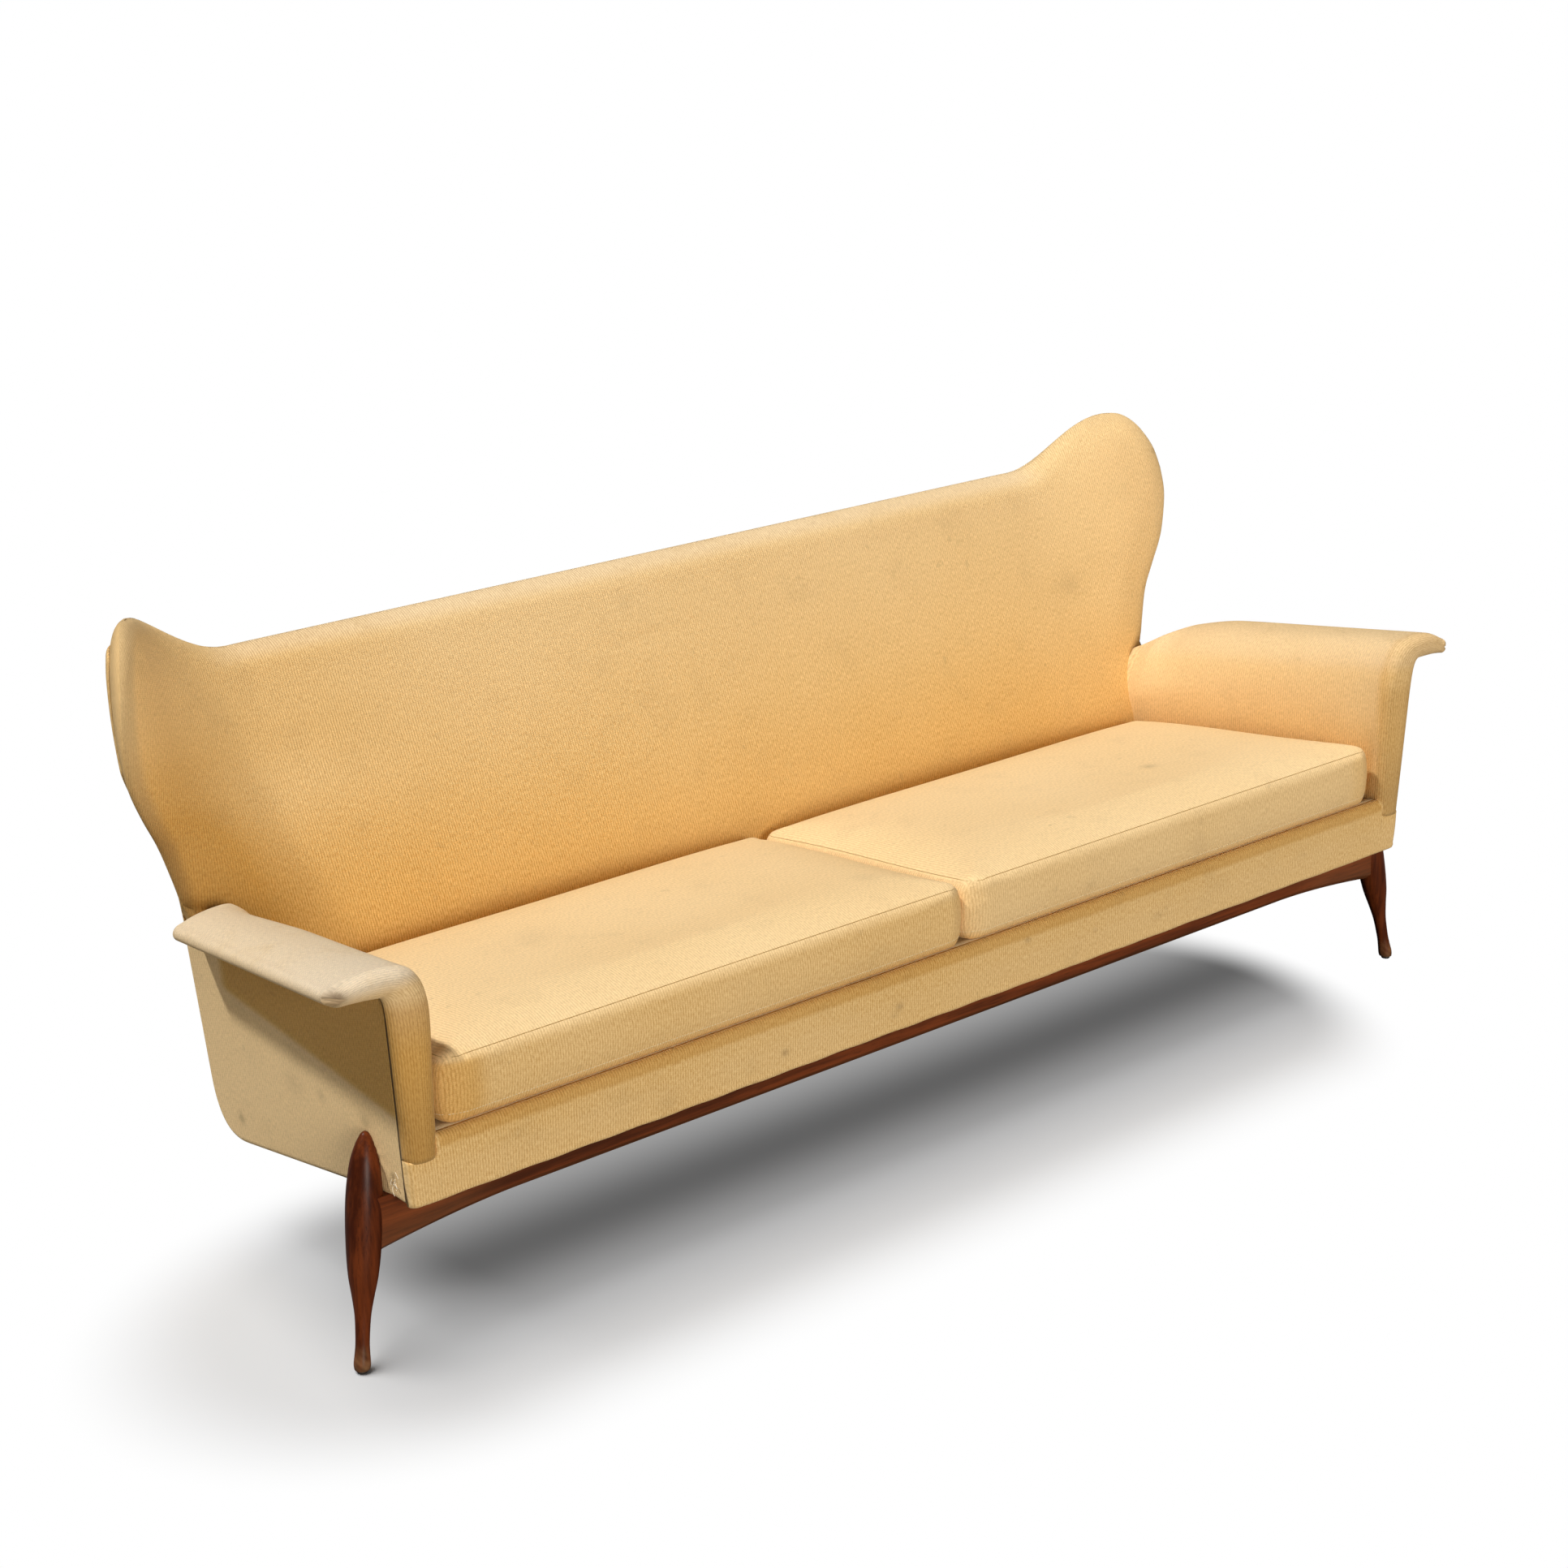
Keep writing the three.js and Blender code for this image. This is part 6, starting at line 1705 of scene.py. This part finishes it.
def dress_frame(context):
    """Materials of the frame's own nodes, which stay as they are."""
    # The beech is darker than new beech: partly age, and painted shade for the bits seen in the gaps at the cushions'
    # corners
    beech_long = wood_material("beech along", (0.34, 0.20, 0.09), (0.50, 0.33, 0.17), 0.72, (0.15, 2.5, 2.5))
    beech_deep = wood_material("beech across", (0.34, 0.20, 0.09), (0.50, 0.33, 0.17), 0.72, (2.5, 0.15, 2.5))
    beech_tall = wood_material("beech upright", (0.34, 0.20, 0.09), (0.50, 0.33, 0.17), 0.72, (2.5, 2.5, 0.15))
    ply = wood_material("plywood", (0.42, 0.27, 0.13), (0.62, 0.43, 0.23), 0.8, (2.5, 2.5, 0.3))
    steel = plain_material("zinc plated steel", (0.42, 0.42, 0.43), 0.42, 0.9)
    strap = woven_material("rubber strap", (0.035, 0.032, 0.030), (0.014, 0.013, 0.012), 0.002, 0.75)
    finishes = {
        "seat_rail_front": beech_long, "seat_rail_rear": beech_long, "back_top_rail": beech_long,
        "back_bottom_rail": beech_long, "seat_brace": beech_deep, "seat_rail_left": beech_deep,
        "seat_rail_right": beech_deep, "arm_flare_plank": beech_deep, "corner_block": beech_long,
        "back_post": beech_tall, "wing_board": ply, "arm_board": ply, "front_leg_bolt": steel, "leg_plate": steel,
        "seat_strap": strap}
    for name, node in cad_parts.items():
        for start, material in finishes.items():
            if name.startswith(start):
                node.data.materials.clear()
                node.data.materials.append(material)


def make_stage(context):
    scene = context.scene
    scene.view_settings.view_transform = "Standard"
    camera = bpy.data.cameras.new("photo camera")
    camera.sensor_width = 36
    camera.lens = CAMERA_LENS
    camera.clip_end = 200
    holder = bpy.data.objects.new("photo camera", camera)
    holder.location = (CAMERA_PLACE[0], CAMERA_PLACE[1] + FRONT_Y, CAMERA_PLACE[2])
    holder.rotation_euler = (math.radians(90 - CAMERA_PITCH), 0, math.radians(-CAMERA_YAW))
    scene.collection.objects.link(holder)
    scene.camera = holder

    world = bpy.data.worlds.new("studio")
    scene.world = world
    world.use_nodes = True
    tree = world.node_tree
    background = next(n for n in tree.nodes if n.type == "BACKGROUND")
    path = tree.nodes.new("ShaderNodeLightPath")
    feed(tree, background.inputs["Strength"], span(tree, path.outputs["Is Camera Ray"], 0.0, 1.0, 0.06, 1.0))
    background.inputs["Color"].default_value = (1, 1, 1, 1)

    mesh = bpy.data.meshes.new("studio floor")
    reach = 14.0
    mesh.from_pydata([(-reach, -reach, 0), (reach, -reach, 0), (reach, reach, 0), (-reach, reach, 0)], [], [(0, 1, 2, 3)])
    floor = bpy.data.objects.new("studio_floor", mesh)
    scene.collection.objects.link(floor)
    material, tree, shader = new_material("studio floor")
    path = tree.nodes.new("ShaderNodeLightPath")
    seen = path.outputs["Is Camera Ray"]
    feed(tree, shader["Base Color"], mix_colour(tree, seen, rgba((0.17, 0.17, 0.17)), rgba((0.76, 0.76, 0.76))))
    shader["Roughness"].default_value = 0.95
    shader["Specular IOR Level"].default_value = 0.1
    output = next(n for n in tree.nodes if n.type == "OUTPUT_MATERIAL")
    principled = next(n for n in tree.nodes if n.type == "BSDF_PRINCIPLED")
    glow = tree.nodes.new("ShaderNodeEmission")
    glow.inputs["Strength"].default_value = 1.0
    split = tree.nodes.new("ShaderNodeSeparateXYZ")
    feed(tree, split.inputs[0], object_place(tree))
    x = split.outputs[0]
    past_right = calc(tree, "MULTIPLY", calc(tree, "MAXIMUM", calc(tree, "SUBTRACT", x, 0.66), 0.0), 1.4)
    past_left = calc(tree, "MULTIPLY", calc(tree, "MAXIMUM", calc(tree, "SUBTRACT", -0.9, x), 0.0), 0.75)
    across = calc(tree, "SUBTRACT", split.outputs[1], FRONT_Y + 0.15)
    away = calc(tree, "SQRT", calc(tree, "ADD", calc(tree, "POWER", calc(tree, "ADD", past_right, past_left), 2.0),
                                   calc(tree, "MULTIPLY", across, across)))
    depth = calc(tree, "ABSOLUTE", calc(tree, "SUBTRACT", across, 0.05))
    base = calc(tree, "MULTIPLY", span(tree, depth, 0.0, 0.2, 0.11, 0.36), span(tree, x, -1.12, -0.85, 0.05, 1.0))
    beyond = span(tree, away, 0.24, 0.44)
    share = calc(tree, "ADD", base, calc(tree, "MULTIPLY", calc(tree, "SUBTRACT", 1.0, base), beyond))
    blend = tree.nodes.new("ShaderNodeMixShader")
    feed(tree, blend.inputs[0], calc(tree, "MULTIPLY", share, seen))
    feed(tree, blend.inputs[1], principled.outputs[0])
    feed(tree, blend.inputs[2], glow.outputs[0])
    feed(tree, output.inputs["Surface"], blend.outputs[0])
    mesh.materials.append(material)

    key = add_light("key from the left", (-0.408, 0.288, 0.867), 2.8, 4)
    front = add_light("soft front", (-0.22, -0.93, 0.24), 2.3, 24)
    front.data.color = (1.0, 0.955, 0.88)
    add_light("floor light", (-0.35, 0.20, 0.91), 3.1, 48, 0.0)
    spared = bpy.data.collections.new("not lit by the key")
    spared.objects.link(floor)
    spared.collection_objects[0].light_linking.link_state = "EXCLUDE"
    for light in (key, front):
        light.light_linking.receiver_collection = spared
    only = bpy.data.collections.new("lit by the floor light")
    only.objects.link(floor)
    scene.objects["floor light"].light_linking.receiver_collection = only


def add_light(name, towards, energy, size, gloss=1.0):
    """A sun whose light comes from the direction given; its size is the angle of its disc."""
    light = bpy.data.lights.new(name, "SUN")
    light.energy = energy
    light.angle = math.radians(size)
    light.specular_factor = gloss
    holder = bpy.data.objects.new(name, light)
    holder.location = tuple(np.array(towards) * 5)
    holder.rotation_euler = Vector(towards).to_track_quat("Z", "Y").to_euler()
    bpy.context.scene.collection.objects.link(holder)
    return holder


# Operators

class SofaOperator:
    bl_options = {"REGISTER", "UNDO"}

    def execute(self, context):
        self.make(context)
        return {"FINISHED"}


class SOFA_OT_back(SofaOperator, bpy.types.Operator):
    """Build the winged back and its outside cover"""
    bl_idname = "sofa.back"
    bl_label = "Back"

    def make(self, context):
        make_back(context)
        make_rear_panel(context)


class SOFA_OT_arms(SofaOperator, bpy.types.Operator):
    """Build the flared arms and the outside of both ends"""
    bl_idname = "sofa.arms"
    bl_label = "Arms"

    def make(self, context):
        make_arm(context)
        make_side_cover(context)
        make_end_details(context)


class SOFA_OT_apron(SofaOperator, bpy.types.Operator):
    """Build the padded front below the cushions"""
    bl_idname = "sofa.apron"
    bl_label = "Apron"

    def make(self, context):
        make_apron(context)


class SOFA_OT_cushions(SofaOperator, bpy.types.Operator):
    """Build, fill and stitch both loose seat cushions"""
    bl_idname = "sofa.cushions"
    bl_label = "Cushions"

    def make(self, context):
        make_cushion(context, "left", -1)
        make_cushion(context, "right", 1)


class SOFA_OT_wood(SofaOperator, bpy.types.Operator):
    """Build the turned legs, the haunched rail and the glides"""
    bl_idname = "sofa.wood"
    bl_label = "Legs and rail"

    def make(self, context):
        make_front_legs(context)
        make_front_rail(context)
        make_rear_legs(context)


class SOFA_OT_inside(SofaOperator, bpy.types.Operator):
    """Finish the frame inside: hardwood, plywood, steel, straps and hidden cloth"""
    bl_idname = "sofa.inside"
    bl_label = "Frame and hidden cloth"

    def make(self, context):
        make_hidden_cloth(context)
        dress_frame(context)


class SOFA_OT_stage(SofaOperator, bpy.types.Operator):
    """Set up the pale floor, the studio light and the camera"""
    bl_idname = "sofa.stage"
    bl_label = "Stage"

    def make(self, context):
        make_stage(context)


OPERATORS = (SOFA_OT_back, SOFA_OT_arms, SOFA_OT_apron, SOFA_OT_cushions, SOFA_OT_wood, SOFA_OT_inside, SOFA_OT_stage)


class SOFA_PT_panel(bpy.types.Panel):
    """Sofa tools in the sidebar"""
    bl_idname = "SOFA_PT_panel"
    bl_label = "Wingback sofa"
    bl_space_type = "VIEW_3D"
    bl_region_type = "UI"
    bl_category = "Sofa"

    def draw(self, context):
        for group in (context.scene.sofa_sizes, context.scene.sofa_finish):
            for key in group.bl_rna.properties.keys():
                if key not in {"rna_type", "name"}:
                    self.layout.prop(group, key)
        for operator in OPERATORS:
            self.layout.operator(operator.bl_idname)


CLASSES = (SofaSizes, SofaFinish, *OPERATORS, SOFA_PT_panel)


def register():
    for item in CLASSES:
        bpy.utils.register_class(item)
    bpy.types.Scene.sofa_sizes = bpy.props.PointerProperty(type=SofaSizes)
    bpy.types.Scene.sofa_finish = bpy.props.PointerProperty(type=SofaFinish)


def unregister():
    del bpy.types.Scene.sofa_finish
    del bpy.types.Scene.sofa_sizes
    for item in reversed(CLASSES):
        bpy.utils.unregister_class(item)


def main():
    register()
    for operator in OPERATORS:
        group, name = operator.bl_idname.split(".")
        getattr(getattr(bpy.ops, group), name)()


if __name__ == "__main__":
    main()
